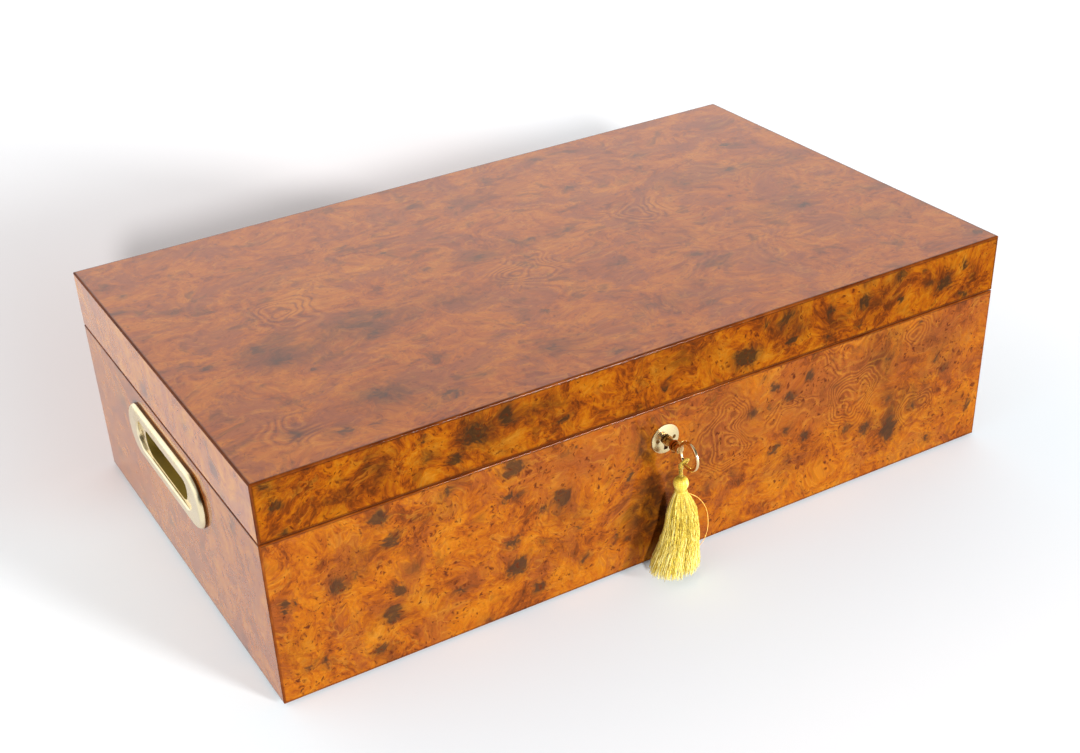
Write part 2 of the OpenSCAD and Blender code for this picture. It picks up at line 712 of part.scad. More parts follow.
module lid_right_rail() { color([0.62, 0.42, 0.22]) mirror([1, 0, 0]) lid_side_rail(); }
module lid_top_veneer() {
    color([0.66, 0.34, 0.12]) intersection() {
        envelope(lid_z, case_h, seam_r, edge_r);
        block([-hw - 1, -hd - 1, case_h - veneer_t], [hw + 1, hd + 1, case_h + 1]);
    }
}
module lid_side_veneer() {
    color([0.72, 0.36, 0.1]) difference() {
        intersection() {
            envelope(lid_z, case_h, seam_r, edge_r);
            union() {
                for (s = [-1, 1]) {
                    translate([0, s * (hd - veneer_t / 2), 0])
                        translate([-hw - 1, -veneer_t / 2 - (s < 0 ? 1 : 0), 0])
                            cube([case_w + 2, veneer_t + 1, case_h - veneer_t]);
                    translate([s * (hw - veneer_t / 2), 0, 0])
                        translate([-veneer_t / 2 - (s < 0 ? 1 : 0), -cy + 0.02, 0])
                            cube([veneer_t + 1, 2 * cy - 0.04, case_h - veneer_t]);
                }
            }
        }
        both() lid_hinge_cut();
    }
}
module cedar_lid_panel() {
    color([0.8, 0.53, 0.36]) difference() {
        block([-lrx, -lry, ceil_z], [lrx, lry, rail_top]);
        translate([0, hyg_y, ceil_z - 1]) cylinder(h = cedar_t + 2, r = 25);
        magnet_places() translate([0, 0, ceil_z - 1]) cylinder(h = 2, r = 6);
    }
}
module cedar_lid_strips() {
    z0 = lip_z + 0.65;
    color([0.78, 0.5, 0.33]) {
        for (s = [-1, 1]) {
            block([-lrx, s < 0 ? -lry : lry - liner_t, z0], [lrx, s < 0 ? -lry + liner_t : lry, ceil_z]);
            block([s < 0 ? -lrx : lrx - liner_t, -lry + liner_t + 0.05, z0],
                [s < 0 ? -lrx + liner_t : lrx, lry - liner_t - 0.05, ceil_z]);
        }
    }
}
module link_screw_places() {
    for (s = [-1, 1]) translate([s * 24, (lock_y0 + lock_y1) / 2 - 0.5, 0]) children();
}
// Plate in the lid with the two eyes that drop into the lock
module link_plate() {
    ey = (eye_y0 + eye_y1) / 2;
    ew = eye_y1 - eye_y0;
    eb = finger_z0 - 1.6;
    color([0.86, 0.76, 0.45]) difference() {
        union() {
            block([-link_hx, lock_y0 - 1.5, lid_z], [link_hx, lock_y1 + 0.4, lid_z + plate_t]);
            for (s = [-1, 1]) {
                block([s * eye_x - 1, eye_y0, eb + 1.5], [s * eye_x + 1, eye_y1, lid_z + 0.5]);
                block([s * eye_x - 1, eye_y0 + 1.5, eb], [s * eye_x + 1, eye_y1 - 1.5, eb + 2]);
                for (y = [eye_y0 + 1.5, eye_y1 - 1.5])
                    rod_x(s * eye_x - 1, s * eye_x + 1, y, eb + 1.5, 1.5);
            }
        }
        for (s = [-1, 1])
            block([s * eye_x - 2, bolt_y0 - 0.3, finger_z0 - 0.3],
                [s * eye_x + 2, bolt_y1 + 0.3, finger_z0 + 4.3]);
        link_screw_places() translate([0, 0, lid_z]) mirror([0, 0, 1]) screw_space(2, 1, 12);
    }
}
module lid_screws() {
    color([0.8, 0.7, 0.42]) {
        both() leaf_screw_places() translate([0, 0, lid_z]) mirror([0, 0, 1]) screw(2.2, 1.1, 12);
        link_screw_places() translate([0, 0, lid_z]) mirror([0, 0, 1]) screw(2, 1, 12);
    }
}

// ---------- hygrometer, face down in the lid ----------

module hygrometer_case() {
    color([0.8, 0.7, 0.42]) translate([0, hyg_y, ceil_z]) difference() {
        translate([0, 0, -1.1]) cylinder(h = 10.6, r = 25);
        translate([0, 0, -2]) cylinder(h = 10.5, r = 24);
    }
}
module hygrometer_bezel() {
    r = hygro_d / 2;
    color([0.86, 0.76, 0.45]) translate([0, hyg_y, ceil_z]) mirror([0, 0, 1]) rotate_extrude()
        difference() {
            union() {
                translate([22.5, 0]) square([r - 22.5 - 1.6, 3]);
                translate([22.5, 0]) square([r - 22.5, 1.4]);
                translate([r - 1.6, 1.4]) circle(1.6);
            }
            translate([20, -3]) square([5.05, 4.15]);
            translate([20, 1]) square([3.5, 1.5]);
            translate([20, -4]) square([20, 4]);
        }
}
module hygrometer_dial() {
    color([0.95, 0.94, 0.9]) translate([0, hyg_y, ceil_z - 0.3]) difference() {
        cylinder(h = 0.8, r = 23.9);
        translate([0, 0, -1]) cylinder(h = 3, r = 0.8);
    }
}
module hygrometer_glass() {
    color([0.8, 0.9, 0.95, 0.4]) translate([0, hyg_y, ceil_z - 2.5]) cylinder(h = 1, r = 23.4);
}
module hygrometer_movement() {
    color([0.8, 0.7, 0.42]) translate([0, hyg_y, ceil_z + 0.5]) difference() {
        cylinder(h = 6, r = 9);
        translate([0, 0, -1]) cylinder(h = 5, r = 0.8);
    }
}
// Points at about 70 on a dial from 0 to 100
module hygrometer_needle() {
    color([0.1, 0.1, 0.12]) translate([0, hyg_y, ceil_z - 1]) {
        cylinder(h = 5, r = 0.7);
        cylinder(h = 0.5, r = 2);
        rotate([0, 0, -126]) linear_extrude(0.4)
            polygon([[-1.1, -6], [1.1, -6], [0.75, 0], [0.3, 18], [-0.3, 18], [-0.75, 0]]);
    }
}

// ---------- humidifier under the lid ----------

module magnet_places() {
    for (s = [-1, 1]) translate([s * 60, hum_y, 0]) children();
}
// Steel discs let into the lid, which the magnets pull on
module keeper_plates() {
    color([0.66, 0.66, 0.68]) magnet_places() translate([0, 0, ceil_z]) cylinder(h = 1, r = 6);
}
module humidifier_magnets() {
    color([0.5, 0.5, 0.52]) magnet_places() translate([0, 0, ceil_z - 1.5]) cylinder(h = 1.2, r = 5);
}
module humidifier_case() {
    color([0.09, 0.09, 0.1]) difference() {
        translate([0, hum_y, ceil_z - 13.3]) linear_extrude(13) rounded_bar(humid_l, humid_w, 6);
        translate([0, hum_y, ceil_z - 14]) linear_extrude(12) rounded_bar(humid_l - 4, humid_w - 4, 4);
        magnet_places() translate([0, 0, ceil_z - 1.5]) cylinder(h = 2, r = 5);
    }
}
module humidifier_foam() {
    color([0.2, 0.42, 0.25]) translate([0, hum_y, ceil_z - 11.3]) linear_extrude(9.3)
        rounded_bar(humid_l - 4.2, humid_w - 4.2, 3.9);
}
module humidifier_grille() {
    n = floor((humid_l - 24) / 8);
    color([0.12, 0.12, 0.13]) difference() {
        translate([0, hum_y, ceil_z - 13.3]) linear_extrude(2)
            rounded_bar(humid_l - 4.1, humid_w - 4.1, 3.95);
        for (i = [0 : n - 1])
            translate([(i - (n - 1) / 2) * 8, hum_y, ceil_z - 14]) linear_extrude(4)
                rounded_bar(3.6, humid_w - 18, 1.7);
    }
}

front_wall();
back_wall();
left_wall();
right_wall();
base_panel();
case_veneer();
base_felt();
cedar_front_liner();
cedar_back_liner();
cedar_left_liner();
cedar_right_liner();
cedar_floor();
left_handle();
right_handle();
handle_screws();
lock_case();
lock_faceplate();
lock_post();
escutcheon();
escutcheon_screws();
left_hinge_case_leaf();
right_hinge_case_leaf();
hinge_pins();
case_screws();
lid_top_panel();
lid_front_rail();
lid_back_rail();
lid_left_rail();
lid_right_rail();
lid_top_veneer();
lid_side_veneer();
cedar_lid_panel();
cedar_lid_strips();
left_hinge_lid_leaf();
right_hinge_lid_leaf();
link_plate();
lid_screws();
hygrometer_case();
hygrometer_bezel();
hygrometer_dial();
hygrometer_glass();
hygrometer_movement();
hygrometer_needle();
keeper_plates();
left_hinge_stay();
right_hinge_stay();
humidifier_case();
humidifier_foam();
humidifier_grille();
humidifier_magnets();
lock_curtain();
lock_bolt();
key();
tassel_cord_loop();
tassel_cord();
tassel_head();
tassel_skirt();
tassel_loose_thread();
left_divider();
right_divider();
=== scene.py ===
# Burl veneered humidor: looks. Metres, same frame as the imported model:
# +X right seen from the front, the front faces -Y, +Z up, floor at z = 0.
import bpy, math, random
import numpy as np
from mathutils import Matrix, Vector


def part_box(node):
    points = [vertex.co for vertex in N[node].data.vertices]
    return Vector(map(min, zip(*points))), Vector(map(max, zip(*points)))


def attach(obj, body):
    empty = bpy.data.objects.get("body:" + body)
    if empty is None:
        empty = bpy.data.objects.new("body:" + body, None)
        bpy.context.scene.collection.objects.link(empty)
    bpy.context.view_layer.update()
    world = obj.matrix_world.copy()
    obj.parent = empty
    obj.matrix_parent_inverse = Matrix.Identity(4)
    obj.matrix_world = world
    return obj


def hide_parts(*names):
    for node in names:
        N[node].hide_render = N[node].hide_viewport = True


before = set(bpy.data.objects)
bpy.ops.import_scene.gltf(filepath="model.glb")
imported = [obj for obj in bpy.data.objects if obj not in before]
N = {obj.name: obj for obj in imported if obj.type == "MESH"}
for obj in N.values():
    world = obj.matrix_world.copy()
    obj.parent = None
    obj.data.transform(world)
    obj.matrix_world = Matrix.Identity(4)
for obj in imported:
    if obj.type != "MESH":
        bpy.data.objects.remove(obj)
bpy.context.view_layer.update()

SCN = bpy.context.scene
MM = 0.001


# ---------------------------------------------------------------- camera
def make_camera():
    cd = bpy.data.cameras.new("camera")
    cd.sensor_fit = "HORIZONTAL"
    cd.sensor_width = 36.0
    cd.lens = 52.231
    cd.shift_x = 0.0401
    cd.shift_y = 0.0942
    cd.clip_start, cd.clip_end = 0.02, 60.0
    cam = bpy.data.objects.new("camera", cd)
    SCN.collection.objects.link(cam)
    right = Vector((0.86802194, -0.49387771, -0.05121251))
    down = Vector((-0.3076178, -0.45394391, -0.83624531))
    fwd = Vector((0.38975531, 0.74163315, -0.54595885))
    m = Matrix.Identity(4)
    for r in range(3):
        m[r][0], m[r][1], m[r][2] = right[r], -down[r], -fwd[r]
    m[0][3], m[1][3], m[2][3] = -0.426565, -0.751053, 0.541707
    cam.matrix_world = m
    SCN.camera = cam


make_camera()


# ---------------------------------------------------------------- node helper
def lin(r, g, b, k=1.0):
    out = []
    for c in (r, g, b):
        c = c / 255.0
        out.append(k * (c / 12.92 if c <= 0.04045 else ((c + 0.055) / 1.055) ** 2.4))
    return tuple(out)


def sock(x):
    return isinstance(x, bpy.types.NodeSocket)


class Net:
    """A small helper that writes shader nodes."""

    def __init__(self, tree):
        self.t = tree
        self.count = 0

    def new(self, kind, **props):
        n = self.t.nodes.new(kind)
        n.location = (self.count % 40 * 180, -(self.count // 40) * 220)
        self.count += 1
        for k, v in props.items():
            setattr(n, k, v)
        return n

    def put(self, s, v):
        if v is None:
            return
        if sock(v):
            self.t.links.new(v, s)
        elif hasattr(s.default_value, "__len__"):
            v = tuple(v)
            s.default_value = v + (1.0,) if len(s.default_value) == 4 and len(v) == 3 else v
        else:
            s.default_value = v

    def m(self, op, a, b=None, c=None, clamp=False):
        n = self.new("ShaderNodeMath", operation=op, use_clamp=clamp)
        for i, x in enumerate((a, b, c)):
            self.put(n.inputs[i], x) if x is not None else None
        return n.outputs[0]

    def add(self, *xs):
        out = xs[0]
        for x in xs[1:]:
            out = self.m("ADD", out, x)
        return out

    def mul(self, *xs):
        out = xs[0]
        for x in xs[1:]:
            out = self.m("MULTIPLY", out, x)
        return out

    def v(self, op, a, b=None, scale=None):
        n = self.new("ShaderNodeVectorMath", operation=op)
        self.put(n.inputs[0], a)
        if b is not None:
            self.put(n.inputs[1], b)
        if scale is not None:
            self.put(n.inputs["Scale"], scale)
        return n.outputs["Value"] if op in ("LENGTH", "DISTANCE", "DOT_PRODUCT") else n.outputs[0]

    def xyz(self, vec):
        n = self.new("ShaderNodeSeparateXYZ")
        self.put(n.inputs[0], vec)
        return n.outputs

    def vec(self, x=0.0, y=0.0, z=0.0):
        n = self.new("ShaderNodeCombineXYZ")
        for i, a in enumerate((x, y, z)):
            self.put(n.inputs[i], a)
        return n.outputs[0]

    def noise(self, vec, scale, detail=2.0, rough=0.5, dist=0.0, dims="2D", color=False, lac=2.0):
        n = self.new("ShaderNodeTexNoise", noise_dimensions=dims)
        self.put(n.inputs["Vector"], vec)
        for k, x in (("Scale", scale), ("Detail", detail), ("Roughness", rough), ("Lacunarity", lac), ("Distortion", dist)):
            self.put(n.inputs[k], x)
        return n.outputs[1] if color else n.outputs[0]

    def voronoi(self, vec, scale, dims="2D", feature="F1", rand=1.0):
        n = self.new("ShaderNodeTexVoronoi", voronoi_dimensions=dims, feature=feature)
        self.put(n.inputs["Vector"], vec)
        self.put(n.inputs["Scale"], scale)
        self.put(n.inputs["Randomness"], rand)
        return n

    def step(self, x, lo, hi, a=0.0, b=1.0):
        n = self.new("ShaderNodeMapRange", interpolation_type="SMOOTHSTEP")
        for i, y in enumerate((x, lo, hi, a, b)):
            self.put(n.inputs[i], y)
        return n.outputs[0]

    def lerp(self, x, lo, hi, a, b):
        n = self.new("ShaderNodeMapRange", clamp=True)
        for i, y in enumerate((x, lo, hi, a, b)):
            self.put(n.inputs[i], y)
        return n.outputs[0]

    def mix(self, fac, a, b, mode="MIX"):
        n = self.new("ShaderNodeMix", data_type="RGBA", blend_type=mode)
        self.put(n.inputs[0], fac)
        self.put(n.inputs[6], a)
        self.put(n.inputs[7], b)
        return n.outputs[2]

    def ramp(self, fac, stops, interp="LINEAR"):
        n = self.new("ShaderNodeValToRGB")
        cr = n.color_ramp
        cr.interpolation = interp
        while len(cr.elements) < len(stops):
            cr.elements.new(0.5)
        for e, (p, c) in zip(cr.elements, stops):
            e.position = p
            e.color = tuple(c) + (1.0,) if len(c) == 3 else c
        self.put(n.inputs[0], fac)
        return n.outputs[0]

    def bump(self, height, strength, dist, normal=None):
        n = self.new("ShaderNodeBump")
        self.put(n.inputs["Strength"], strength)
        self.put(n.inputs["Distance"], dist)
        self.put(n.inputs["Height"], height)
        if normal is not None:
            self.put(n.inputs["Normal"], normal)
        return n.outputs[0]


def material(name):
    mat = bpy.data.materials.new(name)
    mat.use_nodes = True
    mat.node_tree.nodes.clear()
    g = Net(mat.node_tree)
    out = g.new("ShaderNodeOutputMaterial")
    p = g.new("ShaderNodeBsdfPrincipled")
    g.put(out.inputs["Surface"], p.outputs[0])
    return mat, g, p


def obj_coords(g):
    return g.new("ShaderNodeTexCoord").outputs["Object"]


# ---------------------------------------------------------------- burl veneer
LIGHT, BASE, MID = (240, 146, 30), (226, 128, 26), (208, 110, 28)
RED, PINK, DARK = (172, 86, 28), (184, 100, 50), (124, 66, 28)
EYE, PALE = (134, 62, 26), (250, 168, 54)


OVALS = [(0, 1.0), (0, 1.35), (90, 1.35), (22, 1.6), (-36, 1.7), (0, 2.4)]


def ovals(g, vec):
    """The face's coordinates squeezed along a few directions, so that a circle there is an oval on the face."""
    out = []
    for ang, q in OVALS:
        mp = g.new("ShaderNodeMapping", vector_type="TEXTURE")
        g.put(mp.inputs[0], vec)
        mp.inputs[2].default_value = (0.0, 0.0, math.radians(ang))
        mp.inputs[3].default_value = (math.sqrt(q), 1 / math.sqrt(q), 1.0)
        out.append(mp.outputs[0])
    return out


def spots(g, frames_, items, reach=2.2):
    """Largest of many soft oval spots: (x, y, rx, ry, angle, strength) in cm on the face."""
    out = None
    for x, y, rx, ry, ang, s in items:
        if ry > rx:
            rx, ry, ang = ry, rx, ang + 90
        q = rx / ry

        def miss(c):
            turn = abs((ang - c[0] + 90) % 180 - 90)
            return abs(math.log(q / c[1])) + turn / 60 * min(math.log(q), math.log(c[1]))

        k = min(range(len(OVALS)), key=lambda i: miss(OVALS[i]))
        w, sq = math.radians(OVALS[k][0]), math.sqrt(OVALS[k][1])
        cx, cy = (math.cos(w) * x + math.sin(w) * y) / sq, (-math.sin(w) * x + math.cos(w) * y) * sq
        d = g.lerp(g.v("DISTANCE", frames_[k], (cx, cy, 0.0)), 0.0, reach * math.sqrt(rx * ry), s, 0.0)
        out = d if out is None else g.m("MAXIMUM", out, d)
    return out


def burl(name, u, v, seed, light_gain, blots=(), browns=(), glows=(), swirls=(), eyes=(), mirror=None,
         coat=1.0, coat_ior=1.5, contrast=1.0, stretch=1.0, pinkish=0.5, lines=0.0, pips=1.0, tone=0.0, haze_tint=(1, 1, 1),
         wisps=0.4, blot_keep=0.72, coal=(82, 62, 44), blot=0.88, ridges=0.4, grainy=0.55, haze_patches=(), joint_and_shade=None, fine=1.0, ragged=1.0, rim=None):
    mat, g, p = material(name)
    s3 = g.xyz(obj_coords(g))
    P = g.v("SCALE", g.vec(s3[u], s3[v], 0.0), scale=100.0)
    Q = g.v("MULTIPLY", g.v("ADD", P, (seed * 17.3, seed * 31.7, 0.0)), (1.0 / stretch, 1.0, 1.0))
    half = (0.5, 0.5, 0.5)
    wa = g.v("SCALE", g.v("SUBTRACT", g.noise(Q, 0.24, 1.5, color=True), half), scale=2.6)
    qa = g.v("ADD", Q, wa)
    wb = g.v("SCALE", g.v("SUBTRACT", g.noise(qa, 1.0, 2.0, color=True), half), scale=0.75)
    qb = g.v("ADD", qa, wb)
    wc = g.v("SCALE", g.v("SUBTRACT", g.noise(qb, 3.6, 2.0, color=True), half), scale=0.20)
    qc = g.v("ADD", qb, wc)
    PW = g.v("ADD", P, g.v("ADD", g.v("SCALE", wb, scale=0.50 * ragged), g.v("SCALE", wc, scale=1.9 * ragged)))

    # soft mottled ground
    f1 = g.noise(qa, 0.42, 3.0, 0.5)
    f2 = g.noise(qb, 1.5, 4.0, 0.58)
    f3 = g.noise(g.v("ADD", qc, (41.0, 7.0, 0.0)), 5.2, 3.0, 0.6)
    f = g.add(g.mul(f1, 0.40), g.mul(f2, 0.38), g.mul(f3, 0.22 * fine), tone + 0.11 * (1 - fine))
    f = g.add(g.mul(g.m("SUBTRACT", f, 0.5), contrast), 0.5)
    FR = ovals(g, PW)
    if glows:
        f = g.add(f, g.mul(g.step(spots(g, FR, glows, 1.7), 0.0, 0.9), 0.055))
    col = g.ramp(f, [(0.33, lin(*DARK)), (0.42, lin(*RED)), (0.475, lin(*MID)), (0.53, lin(*BASE)), (0.60, lin(*LIGHT)), (0.72, lin(*PALE))])

    # dusty pink clouds, grainy where they thin out: partly the veneer's own colour, partly painted reflection haze;
    # the placed patches are painted reflection haze, the pale veil of the bright floor mirrored in the lacquer
    cl = g.noise(g.v("ADD", qa, (9.0, 55.0, 0.0)), 0.36, 3.0, 0.55)
    grain = g.noise(g.v("ADD", qc, (19.0, 5.0, 0.0)), 4.2, 3.0, 0.62)
    cl = g.step(g.add(cl, g.mul(g.m("SUBTRACT", grain, 0.5), grainy)), 0.48, 0.64, 0.0, pinkish)
    if haze_patches:
        cl = g.m("MAXIMUM", cl, g.step(g.add(spots(g, FR, haze_patches, 1.5), g.mul(g.m("SUBTRACT", f2, 0.5), 1.2)), 0.05, 0.75, 0.0, 0.72))
    col = g.mix(cl, col, lin(*PINK))
    # bright wavy ridges
    if ridges:
        rd = g.m("ABSOLUTE", g.m("SUBTRACT", g.noise(g.v("MULTIPLY", qb, (0.55, 1.25, 1.0)), 0.9, 2.0, 0.5), 0.5))
        rd_on = g.step(g.noise(g.v("ADD", qa, (88.0, 2.0, 0.0)), 0.5, 1.0), 0.48, 0.62, 0.0, ridges)
        col = g.mix(g.mul(g.step(rd, 0.045, 0.0), rd_on), col, lin(*PALE))
    # brown smoky bands, some of them placed; on the front two placed bands are a painted shadow of the tassel and key
    br = g.step(g.noise(g.v("ADD", qb, (3.0, 91.0, 0.0)), 0.62, 4.0, 0.6), 0.56, 0.74, 0.0, wisps)
    if browns:
        rag = g.lerp(g.noise(qb, 1.3, 4.0, 0.6), 0.35, 0.62, 0.40, 1.15)
        br = g.m("MAXIMUM", br, g.mul(g.step(spots(g, FR, browns, 1.6), 0.0, 0.75), rag, 0.85))
    col = g.mix(g.m("MINIMUM", br, 1.0), col, lin(116, 68, 34))

    # contour lines round the burr's swirls
    if mirror is None:
        qm = qa
    else:
        mx = g.add(g.m("ABSOLUTE", g.m("SUBTRACT", g.xyz(P)[0], mirror)), mirror)
        pm = g.vec(mx, g.xyz(P)[1], 0.0)
        qm = g.v("ADD", pm, g.v("SCALE", g.v("SUBTRACT", g.noise(pm, 0.55, 1.5, color=True), half), scale=2.2))
    if swirls or lines:
        PS = g.v("ADD", P, g.v("SCALE", g.v("SUBTRACT", g.noise(Q, 0.36, 1.0, color=True), half), scale=2.4))
        phase = g.mul(g.noise(g.v("ADD", qm, (70.0, 13.0, 0.0)), 0.26, 0.8), 10.0)
        lines_on = g.step(g.noise(g.v("ADD", Q, (5.0, 77.0, 0.0)), 0.16, 1.0), 0.50, 0.64, 0.0, lines) if lines else None
        for x, y, rx, ry, ang, turns in swirls:
            mp = g.new("ShaderNodeMapping", vector_type="TEXTURE")
            g.put(mp.inputs[0], PS)
            mp.inputs[1].default_value = (x, y, 0.0)
            mp.inputs[2].default_value = (0.0, 0.0, math.radians(ang))
            mp.inputs[3].default_value = (rx, ry, 1.0)
            d = g.v("LENGTH", mp.outputs[0])
            phase = g.add(phase, g.step(d, 1.25, 0.0, 0.0, turns))
            near = g.step(d, 1.6, 0.7, 0.0, 1.0)
            lines_on = near if lines_on is None else g.m("MAXIMUM", lines_on, near)
        wave = g.m("SINE", g.mul(phase, 6.28318))
        thin = g.lerp(g.noise(qb, 1.1, 2.0), 0.38, 0.6, 0.35, 1.0)
        col = g.mix(g.mul(g.step(wave, -0.2, -1.0), lines_on, 0.26), col, lin(*PALE))
        col = g.mix(g.mul(g.step(wave, 0.25, 1.0), lines_on, thin, 0.66), col, lin(142, 74, 36))

    # thin meandering hairlines
    for off, k, w, a in (((12.0, 4.0, 0.0), 0.55, 0.0055, 0.50), ((31.0, 66.0, 0.0), 1.0, 0.006, 0.32)):
        h = g.m("ABSOLUTE", g.m("SUBTRACT", g.noise(g.v("ADD", qc, off), k, 2.0, 0.5), 0.5))
        on = g.step(g.noise(g.v("ADD", qa, off), 0.5, 1.0), 0.52, 0.64)
        col = g.mix(g.mul(g.step(h, w, 0.0), on, a * fine), col, lin(120, 58, 26))

    # dark blots: random ones and the placed ones, with soft brown rims
    pv = g.v("ADD", P, g.v("ADD", g.v("SCALE", wb, scale=0.7), g.v("SCALE", wc, scale=2.2)))
    vo = g.voronoi(g.v("ADD", g.v("MULTIPLY", pv, (1.0 / (1.15 * stretch), 1.15, 1.0)), (seed * 3.1, seed * 5.7, 0.0)), 0.47)
    rnd = g.xyz(vo.outputs["Color"])
    size = g.lerp(rnd[0], 0.0, 1.0, 0.07, 0.22)
    keep = g.step(rnd[1], blot_keep, blot_keep + 0.05)
    bl = g.mul(g.step(vo.outputs["Distance"], size, g.mul(size, 0.35)), keep, g.lerp(rnd[2], 0.0, 1.0, 0.35, 0.80))
    halo = g.mul(g.step(vo.outputs["Distance"], g.mul(size, 2.4), g.mul(size, 0.8)), keep, 0.30)
    if blots:
        sp = spots(g, FR, blots)
        bl = g.m("MAXIMUM", bl, g.step(sp, 0.28, 0.60, 0.0, 1.0))
        halo = g.m("MAXIMUM", halo, g.step(sp, 0.0, 0.42, 0.0, 0.42))
    mott = g.lerp(g.noise(g.v("ADD", qc, (2.0, 9.0, 0.0)), 3.2, 3.0, 0.6), 0.30, 0.60, 0.70, 1.08)
    col = g.mix(g.mul(halo, mott), col, lin(132, 76, 40))
    col = g.mix(g.m("MINIMUM", g.mul(bl, mott), blot), col, lin(*coal))

    # small reddish eyes in clusters, the larger ones with a darker pupil
    for k, off, lo, hi, r0, r1 in ((1.9, 23.0, 0.47, 0.56, 0.13, 0.27), (3.4, 71.0, 0.44, 0.56, 0.12, 0.27)):
        vo = g.voronoi(g.v("ADD", pv, (off + seed, off * 2.0, 0.0)), k)
        rnd = g.xyz(vo.outputs["Color"])
        on = g.step(g.noise(g.v("ADD", g.v("MULTIPLY", qa, (0.7, 1.2, 1.0)), (off, 3.0, 0.0)), 0.60, 3.0, 0.6), lo, hi)
        if eyes:
            on = g.m("MAXIMUM", on, g.step(spots(g, FR, eyes, 1.5), 0.1, 0.5))
        on = g.mul(on, g.step(rnd[1], 0.42, 0.50), pips)
        r = g.lerp(rnd[0], 0.0, 1.0, r0, r1)
        col = g.mix(g.mul(g.step(vo.outputs["Distance"], g.mul(r, 1.35), g.mul(r, 0.5)), on, g.lerp(rnd[2], 0.0, 1.0, 0.40, 0.85)), col, lin(*EYE))
        col = g.mix(g.mul(g.step(vo.outputs["Distance"], g.mul(r, 0.55), g.mul(r, 0.15)), on, 0.55), col, lin(86, 40, 20))

    # fibres and pores
    fib = g.noise(g.v("MULTIPLY", qc, (3.2, 5.5, 1.0)), 1.3, 3.0, 0.62)
    fin = g.noise(g.v("MULTIPLY", qc, (9.0, 20.0, 1.0)), 1.4, 2.0, 0.6)
    val = g.add(1.0 - 0.40 * fine, g.mul(fib, 0.46 * fine), g.mul(fin, 0.34 * fine))
    col = g.mix(1.0, col, g.vec(val, val, val), "MULTIPLY")
    if joint_and_shade:
        # the dark joint round the plate let into this face, and a wider painted shadow round it, both shifted upward
        # so that the painted shadow lies along the plate's upper side
        cx, cy, hl, rad = joint_and_shade
        q = g.xyz(P)
        e = g.vec(g.m("MAXIMUM", g.m("SUBTRACT", g.m("ABSOLUTE", g.m("SUBTRACT", q[0], cx)), hl), 0.0), g.m("SUBTRACT", q[1], cy + 0.045), 0.0)
        d = g.m("SUBTRACT", g.v("LENGTH", e), rad)
        col = g.mix(g.mul(g.step(d, 0.16, 0.02), 0.90), col, lin(74, 38, 18))
        col = g.mix(g.mul(g.step(d, 0.50, 0.08), 0.35), col, lin(110, 58, 30))
    if rim:
        # painted shade: the leaf is darkened along its arrises, standing in for the dark surroundings that the rounded
        # edge mirrors
        q = g.xyz(P)
        d = g.m("MAXIMUM", g.m("SUBTRACT", g.m("ABSOLUTE", q[0]), rim[0]), g.m("MAXIMUM", g.m("SUBTRACT", q[1], rim[2]), g.m("SUBTRACT", rim[1], q[1])))
        col = g.mix(g.step(d, -0.10, -0.01, 0.0, 0.62), col, lin(92, 42, 14))
    # painted light: each face's gain and tint darken or lighten and cool its leaf to stand in for how the lamps fall
    # on that face and for its reflection haze
    k = tuple(light_gain * t for t in haze_tint)
    col = g.mix(1.0, col, k, "MULTIPLY")
    g.put(p.inputs["Base Color"], col)

    g.put(p.inputs["Roughness"], g.lerp(fib, 0.3, 0.7, 0.42, 0.56))
    p.inputs["IOR"].default_value = 1.45
    p.inputs["Specular IOR Level"].default_value = 0.0
    p.inputs["Coat Weight"].default_value = coat
    p.inputs["Coat Roughness"].default_value = 0.03
    p.inputs["Coat IOR"].default_value = coat_ior
    peel = g.noise(obj_coords(g), 210.0, 1.0, dims="3D")
    g.put(p.inputs["Coat Normal"], g.bump(peel, 0.03, 0.001))
    return mat


TOPV = (2, 138.5)

# placed figure of the faces that the picture shows, in cm on each face
FRONT_BLOTS = [
    (-17.6, 9.5, .55, .42, 20, .85), (-17.0, 7.9, .30, .62, -38, .80), (-13.5, 9.6, .58, .30, 25, .62),
    (-9.6, 9.6, .62, .42, 10, .90), (-10.1, 8.0, .50, .24, 30, .75), (-20.2, 6.3, .55, .50, 0, .72),
    (-19.1, 6.6, .52, .30, 20, .50), (-16.9, 4.7, .50, .28, -15, .78), (-17.4, 3.2, .46, .42, 10, .95),
    (-13.3, 3.1, .62, .24, 25, .62), (-9.7, 3.2, .50, .52, 0, .92), (-10.0, 4.9, .28, .50, -35, .72),
    (-21.4, 1.8, .36, .36, 0, .60), (-18.3, 1.2, .50, .40, 20, .66), (-23.2, 6.3, .18, .20, 0, .75),
    (-22.7, 6.2, .20, .18, 0, .75), (-23.2, 5.8, .22, .17, 0, .80), (-22.3, 1.9, .22, .45, -30, .55),
    (-6.8, 6.6, .58, .50, 10, .85), (-7.9, 6.4, .40, .30, 0, .60), (-8.4, 1.3, .42, .36, 0, .72),
    (-5.4, 2.0, .34, .34, 0, .60), (-2.4, 6.5, .26, .36, 0, .68), (-3.3, 2.7, .20, .26, 0, .62),
    (2.9, 3.7, .42, .34, 0, .45), (10.1, 8.8, .26, .36, -40, .70), (7.6, 8.8, .28, .26, 0, .76),
    (8.8, 7.9, .50, .28, 15, .72), (8.7, 5.7, .46, .24, 15, .52), (10.0, 4.8, .32, .28, 0, .78),
    (7.7, 4.6, .42, .22, 20, .70), (8.9, 3.5, .24, .36, 0, .52), (16.6, 3.0, .52, .62, 0, .86),
    (14.7, 3.7, .40, .42, 10, .72), (16.4, 5.2, .34, .52, 10, .52), (18.4, 4.1, .30, .30, 0, .58),
    (20.0, 6.9, .22, .40, 0, .62), (23.0, 2.6, .26, .32, 0, .70), (19.8, 1.2, .32, .32, 0, .60),
    (22.1, 3.1, .42, .40, 0, .42), (21.3, 6.8, .30, .24, 20, .40),
]
